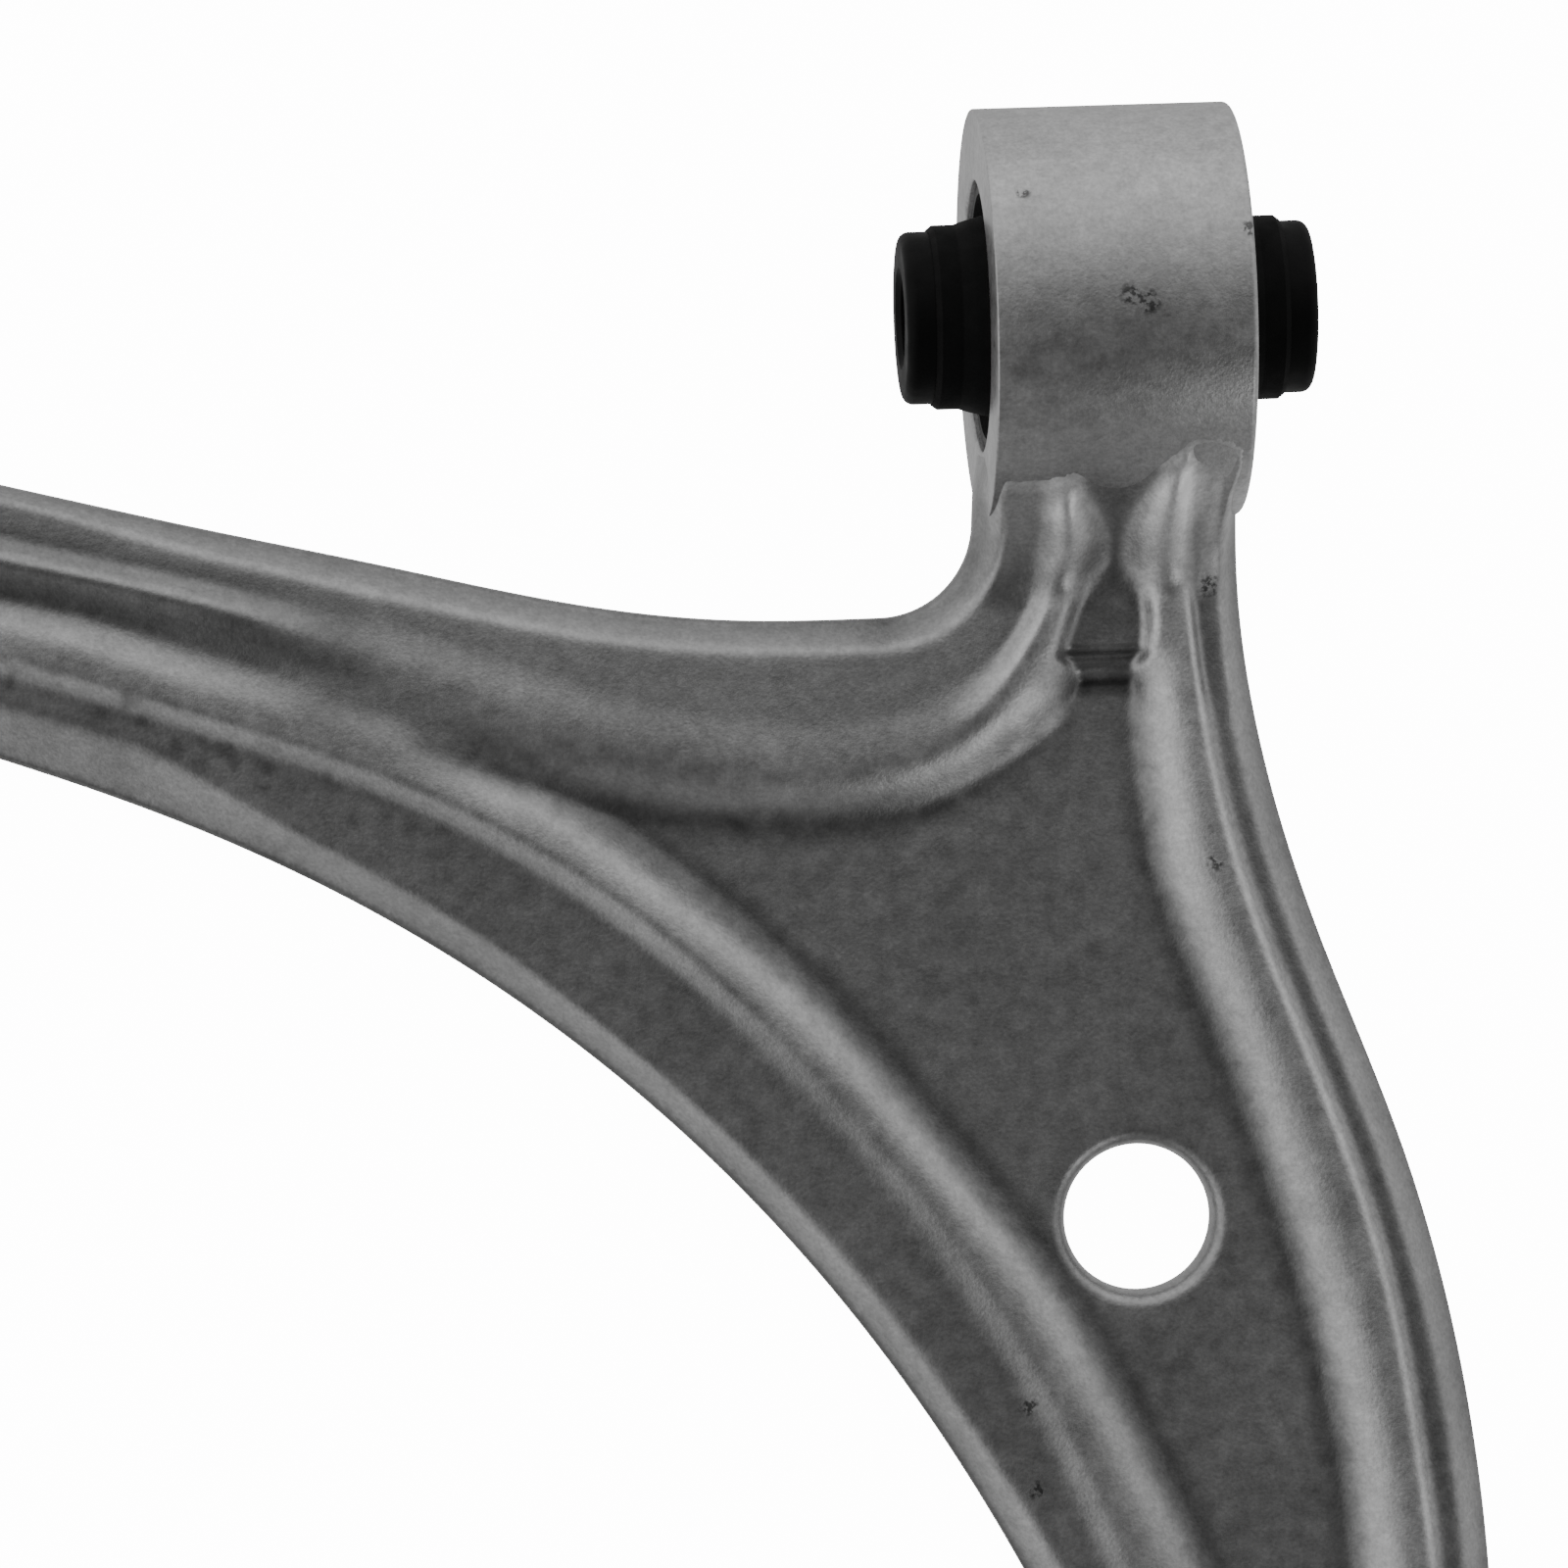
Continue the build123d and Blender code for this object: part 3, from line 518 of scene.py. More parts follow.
def heights(p, lower):
    """Half height of the forging at points, with the fillets into the bosses."""
    zz = sample(Z, p)
    px, py = p[:, 0], p[:, 1]
    # the hole's rounded lip
    r = np.hypot(px - HOLE[0], py - HOLE[1])
    u = np.clip((r - HOLE_R) / (HOLE_MOUTH - HOLE_R), 0, 1)
    lip = HOLE_EDGE_H + (WEB_H - HOLE_EDGE_H) * np.sqrt(np.clip(1 - (1 - u) ** 2, 0, 1))
    zz = np.where(r < HOLE_MOUTH, np.minimum(zz, lip), zz)
    # front boss: above the crease the surface goes just under the cylinder's
    line = along(px, CREASE)
    cyl = np.sqrt(np.maximum(BOSS_R**2 - py**2, 0))
    zz = np.where(py > line - 4, np.minimum(zz, cyl - 0.05 + 1.6 * np.maximum(line - py, 0)), zz)
    # the other two: a fillet up the wall, but the ball boss has a flat top, level with the flange
    for (cx, cy), wall, fillet, most in (REAR_FILLET, BALL_FILLET):
        gap = np.hypot(px - cx, py - cy) - wall
        if wall == BALL_BOSS_R and not lower:
            flat = FLANGE_H - 0.25 * ramp(-gap, 0.2, 1.2)
            over = ramp(gap, -1.0, 0.6)
            zz = np.where(gap < 0.6, np.minimum(zz, flat + (zz - flat) * over), zz)
            continue
        g = np.clip(gap, 0, fillet)
        rise = fillet - np.sqrt(fillet**2 - (fillet - g) ** 2)
        zz = np.where(gap < fillet, np.minimum(zz + rise + np.maximum(-gap, 0) * 4, most), zz)
    return zz


z_up = heights(verts2, False)
z_dn = heights(verts2, True)
n = len(verts2)

# boundary loops in order, for the parting line and the hole's wall: a triangle's edge is on the
# border if no other triangle runs along it the other way
runs = dict.fromkeys(e for a, b, c in tris for e in ((a, b), (b, c), (c, a)))
border = {a: b for a, b in runs if (b, a) not in runs}
loops, left = [], dict(border)
while left:
    a = next(iter(left))
    loop = [a]
    b = left.pop(a)
    while b != a:
        loop.append(b)
        b = left.pop(b)
    loops.append(loop)

co = np.vstack([np.c_[verts2, z_up], np.c_[verts2, -z_dn]])
faces = [tuple(f) for f in tris] + [tuple(int(v) + n for v in f[::-1]) for f in tris]
BOSS_TOP, BOSS_HALF = -21.5, 21.5  # inside the front boss the flash stays at this Y, within this X
for loop in loops:
    p = verts2[loop]
    is_outline = len(loop) > 2 * n_hole
    q = p + (SEAM_OUT if is_outline else 0.0) * right_of(p)
    q[:, 1] = np.where((p[:, 1] > BOSS_TOP) & (np.abs(p[:, 0]) < BOSS_HALF), BOSS_TOP, q[:, 1])
    base, m = len(co), len(loop)
    co = np.vstack([co, np.c_[q, np.full(m, SEAM_H)], np.c_[q, np.full(m, -SEAM_H)]])
    for i in range(m):
        j = (i + 1) % m
        rows = [(loop[i], loop[j]), (base + i, base + j), (base + m + i, base + m + j),
                (loop[i] + n, loop[j] + n)]
        for (a, b), (c, d) in zip(rows, rows[1:]):
            faces.append((b, a, c, d))


def revolve(profile, axis, centre, turns=192):
    """Vertices and quads of a closed profile of (along, radius) turned round X or Z."""
    m = len(profile)
    v, f = [], []
    for k in range(turns):
        a = 2 * math.pi * k / turns
        for s, r in profile:
            if axis == "X":
                v.append((centre[0] + s, centre[1] + r * math.cos(a), centre[2] + r * math.sin(a)))
            else:
                v.append((centre[0] + r * math.cos(a), centre[1] + r * math.sin(a), centre[2] + s))
    for k in range(turns):
        k2 = (k + 1) % turns
        for i in range(m):
            j = (i + 1) % m
            quad = (k * m + i, k * m + j, k2 * m + j, k2 * m + i)
            f.append(quad if axis == "X" else quad[::-1])
    return v, f


def rounded(corners, seg=5):
    """A closed profile with its corners rounded. Each corner is (s, r, radius)."""
    out = []
    k = len(corners)
    for i, (s, r, rad) in enumerate(corners):
        c = Vector((s, r))
        if rad <= 0:
            out.append((s, r))
            continue
        a = (Vector(corners[i - 1][:2]) - c).normalized()
        b = (Vector(corners[(i + 1) % k][:2]) - c).normalized()
        half = math.acos(max(-1, min(1, a.dot(b)))) / 2
        cut = rad / math.tan(half)
        mid = c + (a + b).normalized() * (rad / math.sin(half))
        p, q = c + a * cut - mid, c + b * cut - mid
        turn = p.angle_signed(q)
        for t in range(seg + 1):
            rot = Matrix.Rotation(-turn * t / seg, 2)
            w = mid + rot @ p
            out.append((w.x, w.y))
    return out


def add_island(co, faces, v, f):
    """The mesh with another island's vertices and faces added."""
    base = len(co)
    return np.vstack([co, np.array(v)]), faces + [tuple(i + base for i in q) for q in f]


# ---------------------------------------------------------------- forging: tone, bosses, object
RING_TONE = 1.4  # the turned bosses are brighter than the forged faces
# painted shade along the middle of the front boss's top, and painted highlight towards its inboard side:
# (Y, share)
BOSS_PAINTED_LIGHT = [(-30, 1.0), (-20, 0.9), (-12, 1.0), (-6, 0.97), (0, 0.87), (4, 0.81), (8, 0.83),
              (12, 0.92), (17, 1.0), (22, 1.08), (27, 1.12), (31, 1.0)]
# Y of the painted shadow lines along the neck's steps
STEP_SHADOWS_Y = (-51.7, -56.4)
# places of the painted highlights on the ear tips: X of each, and their Y
EAR_HIGHLIGHTS_X, EAR_HIGHLIGHTS_Y = (-10.6, 10.4), -27


def forging_tone(p):
    """Brightness at plan points: wear and painted highlight on the ribs' crowns and convex edges,
    painted shade in the hollows and corners, real stains, and painted highlights and shadows at a few
    places.
    """
    px, py = p[:, 0], p[:, 1]
    hollow = sample(cavity, p)
    raised = ramp(sample(Z, p), 4.0, 6.5) * ramp(sample(near_rib, p), 0.2, 0.9)
    # brighter on the ribs' crowns and on convex edges: wear and painted highlight
    tone = 1 + 0.3 * raised + (0.1 + 0.4 * raised) * np.clip(-hollow / 0.8, 0, 1)
    # painted shade: darker in the hollows and corners
    tone -= 0.26 * np.clip(hollow / 0.9, 0, 1)
    # painted highlight on the ears and the bank under the front boss
    tone += 0.2 * ramp(py, -38, -25) * ramp(-np.abs(px), -24, -20)

    past_rear, past_front = -signed(p, rear_rib), -signed(p, front_rib)
    past_outb = signed(p, outboard_rib)
    to_foot = signed(p, foot_line, True)
    off_edge = signed(p, outboard_edge)
    in_recess = signed(p, neck_foot, True)
    by_arm = ramp(-px, 90, 125) * ramp(px, -205, -170)
    stained = by_arm * band(off_edge, 12.5, 5.5, 2) + 0.5 * band(to_foot, 0, 5, 1)
    patch = ramp(sample(stains, p), 0.2, 1.5)
    places = [
        (-0.42, ramp(-px, 108, 120) * band(past_rear, 3, 7, 3)),  # dull crown of the rear rib
        (-0.16, ramp(past_outb, 4, 8) * ramp(-past_outb, -18, -14)
         * ramp(past_front - past_outb, 0, 6)),  # painted shade on the outboard rib's slope into the pocket
        (-0.25, band(to_foot, 1.5, 4, 1) * ramp(-py, 60, 80)),  # painted shade along the pocket's foot, where its wall meets the web
        (-0.18, band(signed(p, front_edge), -6.5, 3.5, 1) * ramp(-py, 30, 45)),  # front flange
        (-0.34, np.clip(stained, 0, 1) * patch),  # stains along the rear arm and the pocket
        (0.35, ramp(-px, 125, 150) * ramp(-off_edge, -9, -6)),  # painted highlight on the drafted side at the rear
        (-0.45, ramp(-off_edge, -0.9, -0.2)),  # dark line along the trimmed flash
        (-0.42, ramp(in_recess, -0.6, 1.0)),  # painted shade in the neck's recess
    ]
    # painted shadow along each step in the recess
    for step_y in STEP_SHADOWS_Y:
        places.append((-0.45, band(py, step_y, 1.0, 0.3) * ramp(in_recess, -0.6, 0.6)))
    # painted highlight on each ear tip
    for tip_x in EAR_HIGHLIGHTS_X:
        from_tip = np.hypot(px - tip_x, (py - EAR_HIGHLIGHTS_Y) / 2.2)
        places.append((0.4, band(from_tip, 0, 3.2, 1.0)))
    # painted highlight along the crease where the bank leaves the front boss
    above_crease = py - along(px, CREASE)
    places.append((0.3, band(above_crease, -0.6, 1.6, 0.4) * ramp(-np.abs(px), -20, -18)))
    for share, where in places:
        tone *= 1 + share * where
    return tone


tone = forging_tone(verts2)
tone = np.r_[tone, tone, np.ones(len(co) - 2 * n)]

hw = BOSS_W / 2
front_profile = rounded([(-hw, BORE_R, 0.5), (-hw, BOSS_R, 0.3), (hw, BOSS_R, 0.9), (hw, BORE_R, 0.5)])
rear_profile = rounded([(-REAR_H, REAR_BORE, 0.8), (-REAR_H, REAR_R, 2.5), (REAR_H, REAR_R, 2.5),
                        (REAR_H, REAR_BORE, 0.8)])
foot_z, top_z = BALL_BOSS_Z
ball_profile = rounded([(foot_z, SEAT_R, 0.5), (foot_z, BALL_BOSS_R, 2.0),
                        (top_z, BALL_BOSS_R, 0.8), (top_z, SEAT_R, 0.5)])
co, faces = add_island(co, faces, *revolve(front_profile, "X", (0, 0, 0)))
boss = co[len(tone):]
# painted shade and painted highlight on the upper half of the front boss
tone = np.r_[tone, RING_TONE * np.where(boss[:, 2] > 0, along(boss[:, 1], BOSS_PAINTED_LIGHT), 1.0)]
co, faces = add_island(co, faces, *revolve(rear_profile, "Z", (*REAR, 0)))
co, faces = add_island(co, faces, *revolve(ball_profile, "Z", (*BALL, 0)))
tone = np.r_[tone, np.full(len(co) - len(tone), RING_TONE)]


def mesh_object(name, co, faces, sharp):
    """A smooth-shaded object, with its edges sharp past that many degrees."""
    mesh = bpy.data.meshes.new(name)
    mesh.from_pydata([tuple(v) for v in co], [], faces)
    mesh.validate()
    bm = bmesh.new()
    bm.from_mesh(mesh)
    bmesh.ops.recalc_face_normals(bm, faces=bm.faces)
    bm.to_mesh(mesh)
    bm.free()
    mesh.shade_smooth()
    mesh.set_sharp_from_angle(angle=math.radians(sharp))
    obj = bpy.data.objects.new(name, mesh)
    bpy.context.scene.collection.objects.link(obj)
    return obj


forging = mesh_object("forging_body", co * MM, faces, 50)
if len(forging.data.vertices) != len(tone):
    raise SystemExit("the forging lost vertices")
forging.data.attributes.new("tone", "FLOAT", "POINT").data.foreach_set("value", tone)


# ---------------------------------------------------------------- materials
def material(name):
    """A new material, its node tree and its shader."""
    m = bpy.data.materials.new(name)
    m.use_nodes = True
    nt = m.node_tree
    return m, nt, nt.nodes["Principled BSDF"]


def object_space(nt):
    """Coordinates fixed to the piece, in metres."""
    return nt.nodes.new("ShaderNodeTexCoord").outputs["Object"]


def noise(nt, coord, scale, detail=4.0, rough=0.55):
    """Noise with about scale spots to the metre."""
    n = nt.nodes.new("ShaderNodeTexNoise")
    n.inputs["Scale"].default_value = scale
    n.inputs["Detail"].default_value = detail
    n.inputs["Roughness"].default_value = rough
    nt.links.new(coord, n.inputs["Vector"])
    return n.outputs["Fac"]


def ramp_node(nt, fac, stops):
    """A ramp of greys, as (position, grey) stops."""
    r = nt.nodes.new("ShaderNodeValToRGB")
    els = r.color_ramp.elements
    while len(els) < len(stops):
        els.new(0.5)
    for e, (pos, v) in zip(els, stops):
        e.position = pos
        e.color = (v, v, v, 1)
    nt.links.new(fac, r.inputs["Fac"])
    return r.outputs["Color"]


def multiply(nt, a, b):
    """The product of two colours."""
    m = nt.nodes.new("ShaderNodeMix")
    m.data_type = "RGBA"
    m.blend_type = "MULTIPLY"
    m.inputs["Factor"].default_value = 1.0
    nt.links.new(a, m.inputs["A"])
    nt.links.new(b, m.inputs["B"])
    return m.outputs["Result"]


def tinted(color, k):
    """The colour made k times as bright."""
    return tuple(min(c * k, 1.0) for c in color)


def colour_ramp(nt, fac, stops):
    """A ramp of two colours, as (position, colour) stops."""
    r = nt.nodes.new("ShaderNodeValToRGB")
    for e, (pos, c) in zip(r.color_ramp.elements, stops):
        e.position, e.color = pos, (*c, 1)
    nt.links.new(fac, r.inputs["Fac"])
    return r.outputs["Color"]


def bumped(nt, b, height, strength, distance):
    """Fine relief on the shader b, its distance in metres."""
    bump = nt.nodes.new("ShaderNodeBump")
    bump.inputs["Strength"].default_value = strength
    bump.inputs["Distance"].default_value = distance
    nt.links.new(height, bump.inputs["Height"])
    nt.links.new(bump.outputs["Normal"], b.inputs["Normal"])


# pitted places on the forging: centre and reach in mm
MARKS = [((0.6, 2.8, 31.4), 2.4), ((3.2, 1.6, 31.4), 2.6), ((-43.6, -110.0, 8.6), 2.6),
         ((-41.0, -112.0, 8.6), 2.6), ((-38.5, -113.9, 8.6), 3.0), ((-34.8, -118.0, 8.6), 1.8),
         ((-17.3, -167.0, 6.5), 2.2), ((-16.4, -180.0, 6.5), 2.0), ((14.2, -34.0, 7.5), 3.2),
         ((14.0, -42.0, 6.6), 2.6), ((5.0, -82.0, 8.0), 1.8), ((13.5, -84.3, 9.0), 1.8),
         ((-19.6, -4.8, 25.0), 2.0), ((-14.6, 18.7, 26.0), 1.6), ((19.0, 12.0, 29.0), 1.8)]


def closeness(nt, coord, centre, reach):
    """0 from reach away from the centre, 1 close to it."""
    gap = nt.nodes.new("ShaderNodeVectorMath")
    gap.operation = "DISTANCE"
    gap.inputs[1].default_value = [c * MM for c in centre]
    nt.links.new(coord, gap.inputs[0])
    near = nt.nodes.new("ShaderNodeMapRange")
    near.inputs["From Min"].default_value = reach * MM
    near.inputs["From Max"].default_value = 0.2 * reach * MM
    nt.links.new(gap.outputs["Value"], near.inputs["Value"])
    return near.outputs["Result"]


def combined(nt, operation, a, b):
    """A maths node of two sockets."""
    n = nt.nodes.new("ShaderNodeMath")
    n.operation = operation
    nt.links.new(a, n.inputs[0])
    nt.links.new(b, n.inputs[1])
    return n.outputs[0]


def pitted(nt, coord):
    """1 on sound metal, dark in small pits at the marks."""
    most = None
    for centre, reach in MARKS:
        near = closeness(nt, coord, centre, reach)
        most = near if most is None else combined(nt, "MAXIMUM", most, near)
    pits = ramp_node(nt, noise(nt, coord, 900, 3, 0.6), [(0.44, 0.0), (0.6, 1.0)])
    return ramp_node(nt, combined(nt, "MULTIPLY", most, pits), [(0.12, 1.0), (0.6, 0.3)])


def forged(name):
    """Bare forged aluminium: mottled and pitted, with real stains, wear, painted highlights and painted
    shade from the mesh's tone.
    """
    m, nt, b = material(name)
    tc = object_space(nt)
    # the mesh's tone: real stains and wear, with painted highlights and painted shade
    stains_and_painted_light = nt.nodes.new("ShaderNodeAttribute")
    stains_and_painted_light.attribute_name = "tone"
    color = ramp_node(nt, noise(nt, tc, 45, 5, 0.6), [(0.3, 0.36), (0.7, 0.46)])
    grain = ramp_node(nt, noise(nt, tc, 1500, 3, 0.6), [(0.3, 0.78), (0.7, 1.04)])
    mottle = ramp_node(nt, noise(nt, tc, 420, 4, 0.65), [(0.35, 0.88), (0.65, 1.06)])
    for layer in (grain, mottle, stains_and_painted_light.outputs["Color"], pitted(nt, tc)):
        color = multiply(nt, color, layer)
    nt.links.new(color, b.inputs["Base Color"])
    b.inputs["Metallic"].default_value = 1.0
    nt.links.new(ramp_node(nt, noise(nt, tc, 300, 4), [(0.3, 0.34), (0.7, 0.44)]), b.inputs["Roughness"])
    bumped(nt, b, noise(nt, tc, 1800, 3), 0.25, 0.0002)
    return m


forging.data.materials.append(forged("forged_aluminium"))
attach(forging, "arm")
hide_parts("arm_forging")


# ---------------------------------------------------------------- soft pieces of the joints
# rear bush: profile of a membrane, and the bars between the two fluid chambers
CORE_R, STOP_R, CAGE_R = 13.52, 17.5, 24.38
CROWN = [(CORE_R, 21.6), (15.0, 20.9), (16.6, 19.6), (18.6, 18.2), (20.6, 18.5), (22.6, 20.4),
         (CAGE_R, 22.2)]  # (radius, height) of the membrane's outer face
MEMBRANE_RIM, MEMBRANE_CORE = 11, 6.6  # heights where the membrane ends, at the cage and at the core
BAR_HALF, BAR_SWEEP, BAR_MIDDLES = 11.2, 42, (90, 270)  # half height; half angle; angles

# dust boot: runs of its profile as (radius, height above the ball's centre)
BALL_Z = -9.0
FOLD_OUT = [(23.05, 22.6), (24.4, 23.9), (25.5, 25.9), (25.75, 28.0), (24.8, 30.2), (22.4, 31.75)]
FOLD_IN = [(21.6, 30.2), (23.3, 28.9), (24.0, 27.6), (23.8, 26.2), (22.7, 25.0), (21.5, 24.4)]
FOOT_RING = [(21.4, 23.5), (20.4, 23.4), (20.4, 19.8), (23.0, 19.8), (23.0, 20.75), (22.8, 21.0),
             (22.8, 22.3)]
TOP_OUT = [(22.4, 31.75), (20.6, 32.35), (17.6, 32.75), (14.9, 33.1), (13.2, 34.3), (12.5, 35.9)]
NECK_RING = [(12.1, 36.3), (12.1, 38.3), (12.8, 39.2), (12.6, 40.0), (11.9, 40.3), (9.2, 40.3),
             (8.7, 39.8), (8.7, 35.2)]
TOP_IN = [(9.3, 34.4), (10.6, 33.5), (12.6, 31.9), (15.2, 31.3), (18.2, 31.0), (21.6, 30.2)]
BEAD_R, BEAD_Z, BEAD_SIZE = 22.05, 31.0, 1.2  # the bead over the seam between fold and top
FOLD_FOOT, FOLD_WIDEST = 22.3, 28.0  # heights between which the fold takes up half the tilt
FOLD_R, SEAM_R = 25.6, 22.4  # radii between which it takes up the other half


def sector_bar(inner, outer, half, centre, start, end, seg=24):
    """A piece of a ring about Z with a square section, closed at both ends."""
    section = [(-half, inner), (-half, outer), (half, outer), (half, inner)]
    v, f = [], []
    for k in range(seg + 1):
        a = math.radians(start + (end - start) * k / seg)
        v += [(centre[0] + r * math.cos(a), centre[1] + r * math.sin(a), centre[2] + s)
              for s, r in section]
    for k in range(seg):
        f += [(4 * k + (i + 1) % 4, 4 * k + i, 4 * k + 4 + i, 4 * k + 4 + (i + 1) % 4) for i in range(4)]
    return v, f + [(3, 2, 1, 0), tuple(4 * seg + i for i in range(4))]


def soft_piece(name, islands, nodes):
    """A closed soft mesh in the row frame from its islands, in mm."""
    co, faces = np.empty((0, 3)), []
    for v, f in islands:
        co, faces = add_island(co, faces, v, f)
    piece = mesh_object(name, co * MM, faces, 60)
    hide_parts(*nodes)
    return piece


def bends(piece, weights):
    """The piece's transform baked into its mesh, and its weights worked out, 0 for body a and 1 for body
    b; the weights are not kept.
    """
    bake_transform(piece)
    co = np.array([v.co for v in piece.data.vertices]) / MM
    weights(co).astype(np.float32)


def radius(co, centre):
    """Distance from the upright axis through the centre."""
    return np.hypot(co[:, 0] - centre[0], co[:, 1] - centre[1])


def rear_bush_rubber():
    """A membrane at each end, and two bars between the fluid chambers."""
    membrane = [(z, r) for r, z in smooth(CROWN, 0.4)]
    membrane += [(MEMBRANE_RIM, CAGE_R), (MEMBRANE_RIM, STOP_R), (MEMBRANE_CORE, STOP_R),
                 (MEMBRANE_CORE, CORE_R)]
    mirrored = [(-z, r) for z, r in membrane][::-1]
    centre = (*REAR, 0)
    islands = [revolve(membrane, "Z", centre), revolve(mirrored, "Z", centre)]
    for middle in BAR_MIDDLES:
        start, end = middle - BAR_SWEEP, middle + BAR_SWEEP
        islands.append(sector_bar(STOP_R, CAGE_R, BAR_HALF, centre, start, end))
    return soft_piece("rear_bush_moulding", islands, ["rear_bush_rubber"])


def turned_boot(*runs):
    """An island of the boot from (run, is it curved) pairs that close its profile."""
    line = np.vstack([smooth(r, 0.5) if curved else np.array(r) for r, curved in runs])
    keep = np.r_[True, np.linalg.norm(np.diff(line, axis=0), axis=1) > 0.05]
    return revolve([(z, r) for r, z in line[keep]], "Z", (*BALL, BALL_Z))


def core_share(co):
    """1 at the rear bush's core, 0 at its cage."""
    return 1 - ramp(radius(co, REAR), STOP_R, CAGE_R - 0.2)


def fold_share(co):
    """The fold's share of the first tilt: 0 at its foot, half way at its widest, 1 at the bead."""
    height, r = co[:, 2] - BALL_Z, radius(co, BALL)
    lower = np.clip((height - FOLD_FOOT) / (FOLD_WIDEST - FOLD_FOOT), 0, 1)
    upper = np.clip((FOLD_R - r) / (FOLD_R - SEAM_R), 0, 1)
    return ramp(np.where(height < FOLD_WIDEST, 0.5 * lower, 0.5 + 0.5 * upper))


def top_share(co):
    """The top's share of the second tilt: 0 at the bead, 1 at the stud."""
    return ramp(-radius(co, BALL), -20.8, -13.2)


rear_rubber = rear_bush_rubber()
bends(rear_rubber, core_share)

fold = turned_boot((FOLD_OUT, True), (FOLD_IN, True), (FOOT_RING, False))
lower_boot = soft_piece("dust_boot_fold", [fold], ["dust_boot"])
bends(lower_boot, fold_share)

round_bead = [(BEAD_Z + BEAD_SIZE * math.sin(a), BEAD_R + BEAD_SIZE * math.cos(a))
              for a in np.linspace(0, 2 * math.pi, 25)[:-1]]
upper_islands = [turned_boot((TOP_OUT, True), (NECK_RING, False), (TOP_IN, True)),
                 revolve(round_bead, "Z", (*BALL, BALL_Z))]
upper_boot = soft_piece("dust_boot_top", upper_islands, ["dust_boot"])
bends(upper_boot, top_share)


# ---------------------------------------------------------------- materials of the other pieces
def moulded(name, color, rough, specular=0.5):
    """Rubber or plastic: fine moulded grain, with a little dust and wear."""
    m, nt, b = material(name)
    tc = object_space(nt)
    shades = [(0.35, tinted(color, 0.8)), (0.7, tinted(color, 1.35))]
    patches = colour_ramp(nt, noise(nt, tc, 120, 5), shades)
    specks = ramp_node(nt, noise(nt, tc, 2200, 2), [(0.35, 0.8), (0.65, 1.0)])
    nt.links.new(multiply(nt, patches, specks), b.inputs["Base Color"])
    nt.links.new(ramp_node(nt, noise(nt, tc, 260, 4), [(0.3, rough - 0.08), (0.7, rough + 0.08)]),
                 b.inputs["Roughness"])
    b.inputs["Specular IOR Level"].default_value = specular
    bumped(nt, b, noise(nt, tc, 2600, 2), 0.25, 0.0001)
    return m


def turned_metal(name, color, rough, axis="Z", metallic=1.0):
    """Machined metal: fine lines round its axis, faint stains."""
    m, nt, b = material(name)
    tc = object_space(nt)
    stretch = nt.nodes.new("ShaderNodeMapping")
    stretch.inputs["Scale"].default_value = (30, 0.6, 0.6) if axis == "X" else (0.6, 0.6, 30)
    nt.links.new(tc, stretch.inputs["Vector"])
    lines = noise(nt, stretch.outputs["Vector"], 160, 3)
    shades = [(0.3, tinted(color, 0.75)), (0.65, tinted(color, 1.1))]
    stained = colour_ramp(nt, noise(nt, tc, 150, 5), shades)
    scored = ramp_node(nt, lines, [(0.3, 0.85), (0.7, 1.0)])
    nt.links.new(multiply(nt, stained, scored), b.inputs["Base Color"])
    b.inputs["Metallic"].default_value = metallic
    nt.links.new(ramp_node(nt, lines, [(0.3, rough - 0.07), (0.7, rough + 0.09)]), b.inputs["Roughness"])
    bumped(nt, b, lines, 0.2, 0.00006)
    return m


looks = {
    "sleeve_steel": turned_metal("sleeve_steel", (0.05, 0.05, 0.05), 0.55, "X", 0.4),
    "bush_rubber": moulded("bush_rubber", (0.005, 0.005, 0.005), 0.75, 0.15),
    "dark_steel": moulded("dark_steel", (0.004, 0.004, 0.004), 0.55, 0.12),
    "cage_plastic": moulded("cage_plastic", (0.03, 0.03, 0.032), 0.5),
    "channel_plastic": moulded("channel_plastic", (0.55, 0.53, 0.48), 0.45),
    "stop_plastic": moulded("stop_plastic", (0.05, 0.05, 0.055), 0.5),
    "core_aluminium": turned_metal("core_aluminium", (0.58, 0.58, 0.6), 0.38),
    "cartridge_steel": turned_metal("cartridge_steel", (0.2, 0.2, 0.21), 0.42),
    "spring_steel": turned_metal("spring_steel", (0.1, 0.1, 0.105), 0.38),
    "race_plastic": moulded("race_plastic", (0.72, 0.7, 0.64), 0.4),
    "preload_rubber": moulded("preload_rubber", (0.04, 0.04, 0.04), 0.65),
    "stud_steel": turned_metal("stud_steel", (0.5, 0.5, 0.52), 0.28),
    "boot_rubber": moulded("boot_rubber", (0.012, 0.012, 0.012), 0.5, 0.4),
    "zinc_steel": turned_metal("zinc_steel", (0.6, 0.62, 0.66), 0.33),
}
for sub in frame["record"]["subparts"]:
    if sub["material_slot"] in looks:
        node = frame["nodes"][sub["node"]]
        node.data.materials.clear()
        node.data.materials.append(looks[sub["material_slot"]])
rear_rubber.data.materials.append(looks["bush_rubber"])
for piece in (lower_boot, upper_boot):
    piece.data.materials.append(looks["boot_rubber"])

# ---------------------------------------------------------------- floor, light, camera, in metres
FLOOR_SIZE, FLOOR_GAP, FLOOR_GLOW = 6, 0.0002, 14.0
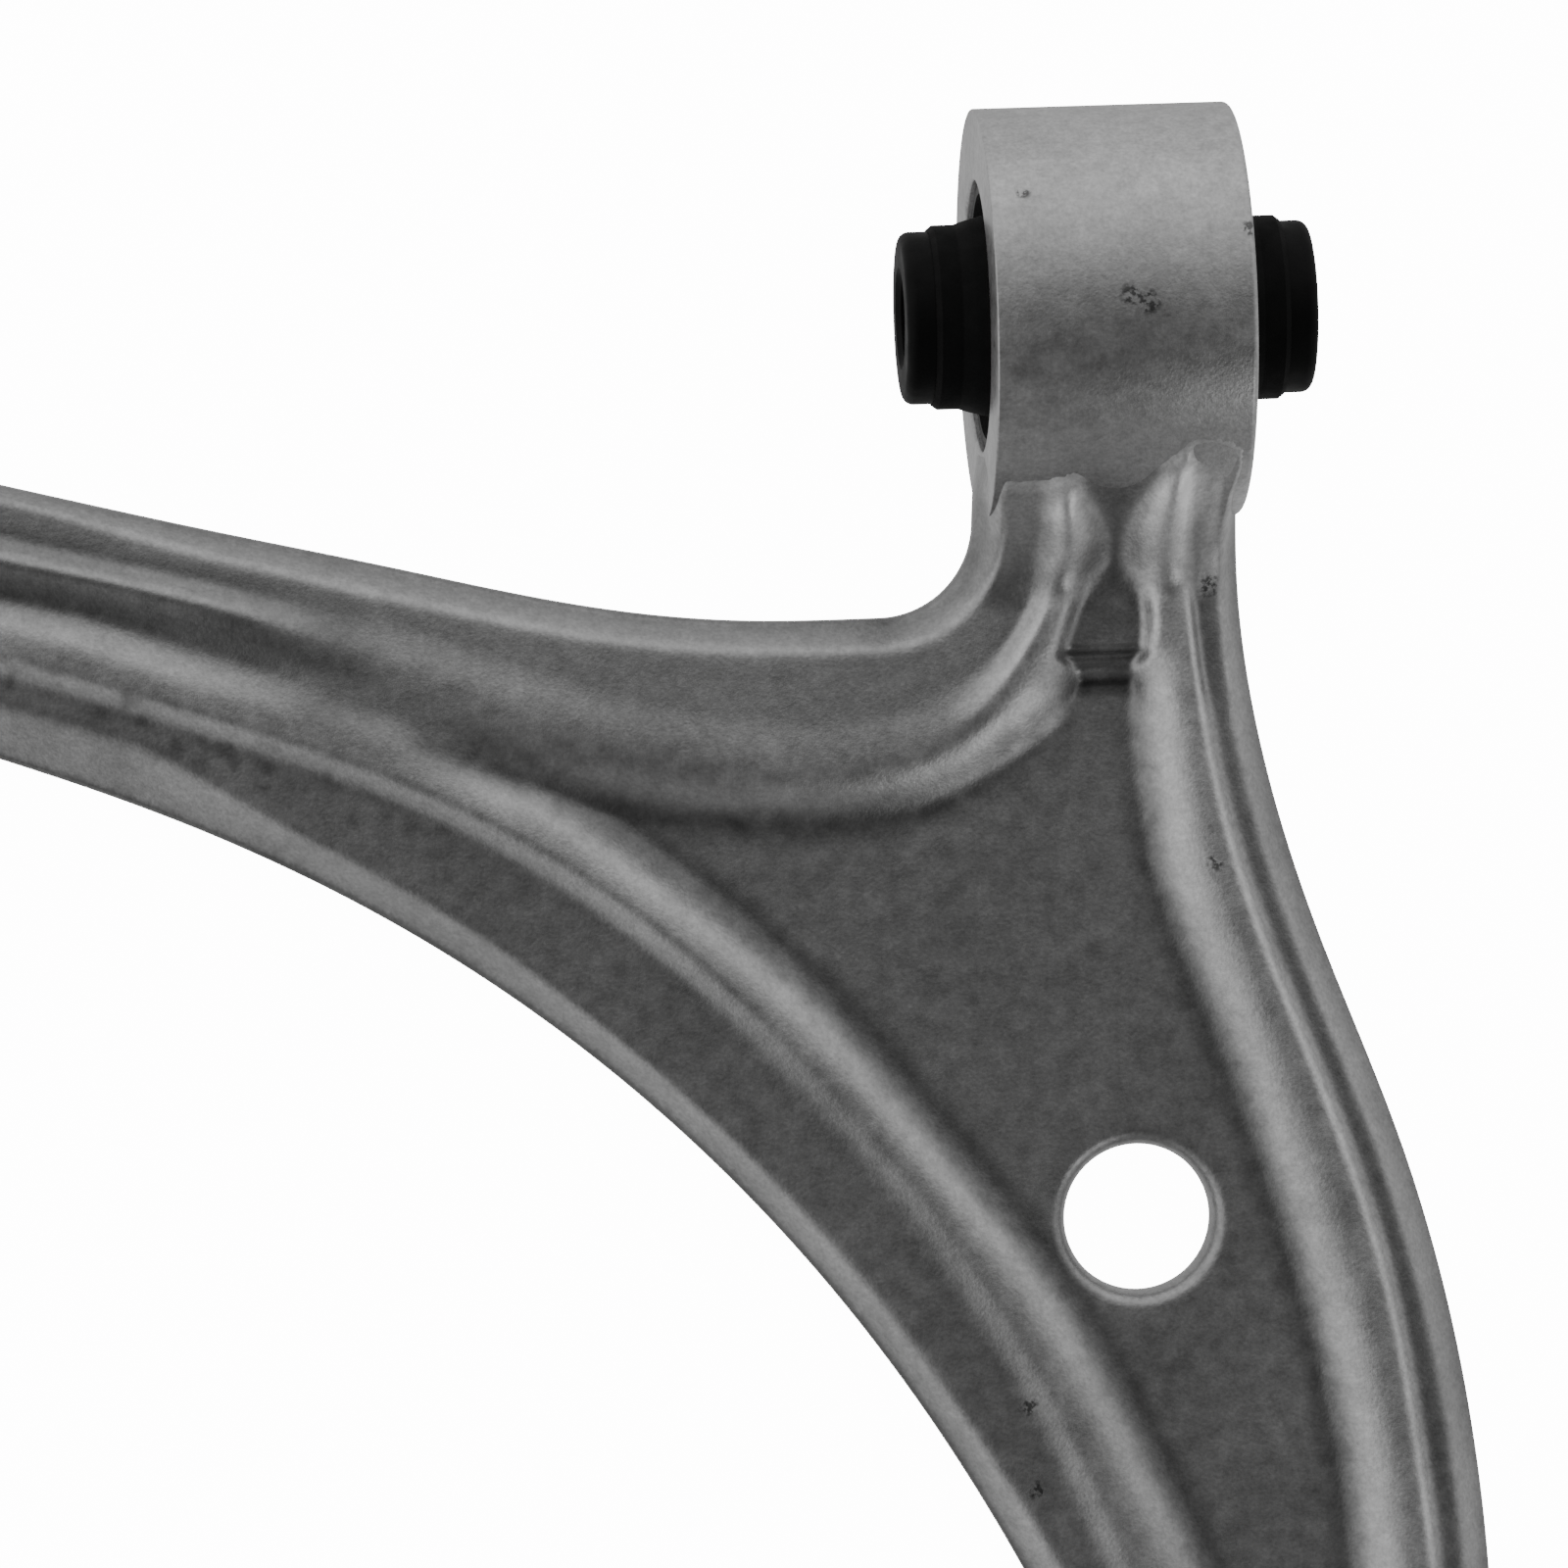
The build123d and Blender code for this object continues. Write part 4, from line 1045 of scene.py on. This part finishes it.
# the sky is dark overhead and bright to the sides, as (share of the way to the side, grey)
SKY = [(0.0, 0.03), (0.24, 0.075), (0.38, 0.17), (0.56, 0.48), (0.8, 0.95)]
DARK_X, DARK_Y = 0.08, -0.44  # direction of the sky's darkest place
NARROW_X, NARROW_Y = 1.3, 1.25  # the dark place is narrower by this on its -X and -Y sides
SIDE_AT = 1.5  # this far from the darkest place is the side
HORIZON = (0.05, -0.12)  # the ground's grey takes over between these heights
BELOW = 0.62
LAMP_SIZE, LAMP_POWER, LAMP_AT, LAMP_AIM = 0.9, 2.6, (0.95, -1.25, 1.0), (0, -0.1, 0)
LENS = 195.9
EYE, AIM, UP = (-0.148, 0.0096, 1.3), (-0.0514, -0.0705, 0), (0.0314, 0.9995, 0)

bpy.ops.mesh.primitive_plane_add(size=FLOOR_SIZE, location=(0, 0, cad_box[0].z - FLOOR_GAP))
floor = bpy.context.object
floor.name = "floor"
paper, _, paper_bsdf = material("floor")
paper_bsdf.inputs["Base Color"].default_value = (0.85, 0.85, 0.85, 1)
paper_bsdf.inputs["Roughness"].default_value = 0.9
paper_bsdf.inputs["Emission Color"].default_value = (1, 1, 1, 1)
paper_bsdf.inputs["Emission Strength"].default_value = FLOOR_GLOW
floor.data.materials.append(paper)
floor.visible_glossy = False
floor.visible_diffuse = False

world = bpy.data.worlds.new("studio")
bpy.context.scene.world = world
world.use_nodes = True
wn = world.node_tree


def calc(op, a, b=None):
    """A maths node of the sky on sockets or plain numbers."""
    n = wn.nodes.new("ShaderNodeMath")
    n.operation = op
    for socket, v in zip(n.inputs, (a, b)):
        if isinstance(v, (int, float)):
            socket.default_value = v
        elif v is not None:
            wn.links.new(v, socket)
    return n.outputs[0]


coord = wn.nodes.new("ShaderNodeTexCoord")
sep = wn.nodes.new("ShaderNodeSeparateXYZ")
wn.links.new(coord.outputs["Generated"], sep.inputs[0])
dx, dy = calc("ADD", sep.outputs["X"], -DARK_X), calc("ADD", sep.outputs["Y"], -DARK_Y)
dx = calc("MAXIMUM", dx, calc("MULTIPLY", dx, -NARROW_X))
dy = calc("MAXIMUM", dy, calc("MULTIPLY", dy, -NARROW_Y))
away = calc("SQRT", calc("ADD", calc("MULTIPLY", dx, dx), calc("MULTIPLY", dy, dy)))
sky = ramp_node(wn, calc("DIVIDE", away, SIDE_AT), SKY)
horizon = wn.nodes.new("ShaderNodeMapRange")
horizon.inputs["From Min"].default_value = HORIZON[0]
horizon.inputs["From Max"].default_value = HORIZON[1]
wn.links.new(sep.outputs["Z"], horizon.inputs["Value"])
mix = wn.nodes.new("ShaderNodeMix")
mix.data_type = "RGBA"
wn.links.new(horizon.outputs["Result"], mix.inputs["Factor"])
wn.links.new(sky, mix.inputs["A"])
mix.inputs["B"].default_value = (BELOW, BELOW, BELOW, 1)
wn.links.new(mix.outputs["Result"], wn.nodes["Background"].inputs["Color"])
wn.nodes["Background"].inputs["Strength"].default_value = 1.0

lamp = bpy.data.lights.new("softbox", "AREA")
lamp.shape = "DISK"
lamp.size = LAMP_SIZE
lamp.energy = LAMP_POWER
softbox = bpy.data.objects.new("softbox", lamp)
softbox.location = LAMP_AT
softbox.rotation_euler = (Vector(LAMP_AIM) - softbox.location).to_track_quat("-Z", "Y").to_euler()
bpy.context.scene.collection.objects.link(softbox)

cam_data = bpy.data.cameras.new("camera")
cam_data.lens = LENS
cam_data.clip_end = 10
cam = bpy.data.objects.new("camera", cam_data)
bpy.context.scene.collection.objects.link(cam)
bpy.context.scene.camera = cam
eye = Vector(EYE)
look = (Vector(AIM) - eye).normalized()
right_v = look.cross(Vector(UP)).normalized()
true_up = right_v.cross(look)
cam.matrix_world = Matrix((
    (right_v.x, true_up.x, -look.x, eye.x), (right_v.y, true_up.y, -look.y, eye.y),
    (right_v.z, true_up.z, -look.z, eye.z), (0, 0, 0, 1)))
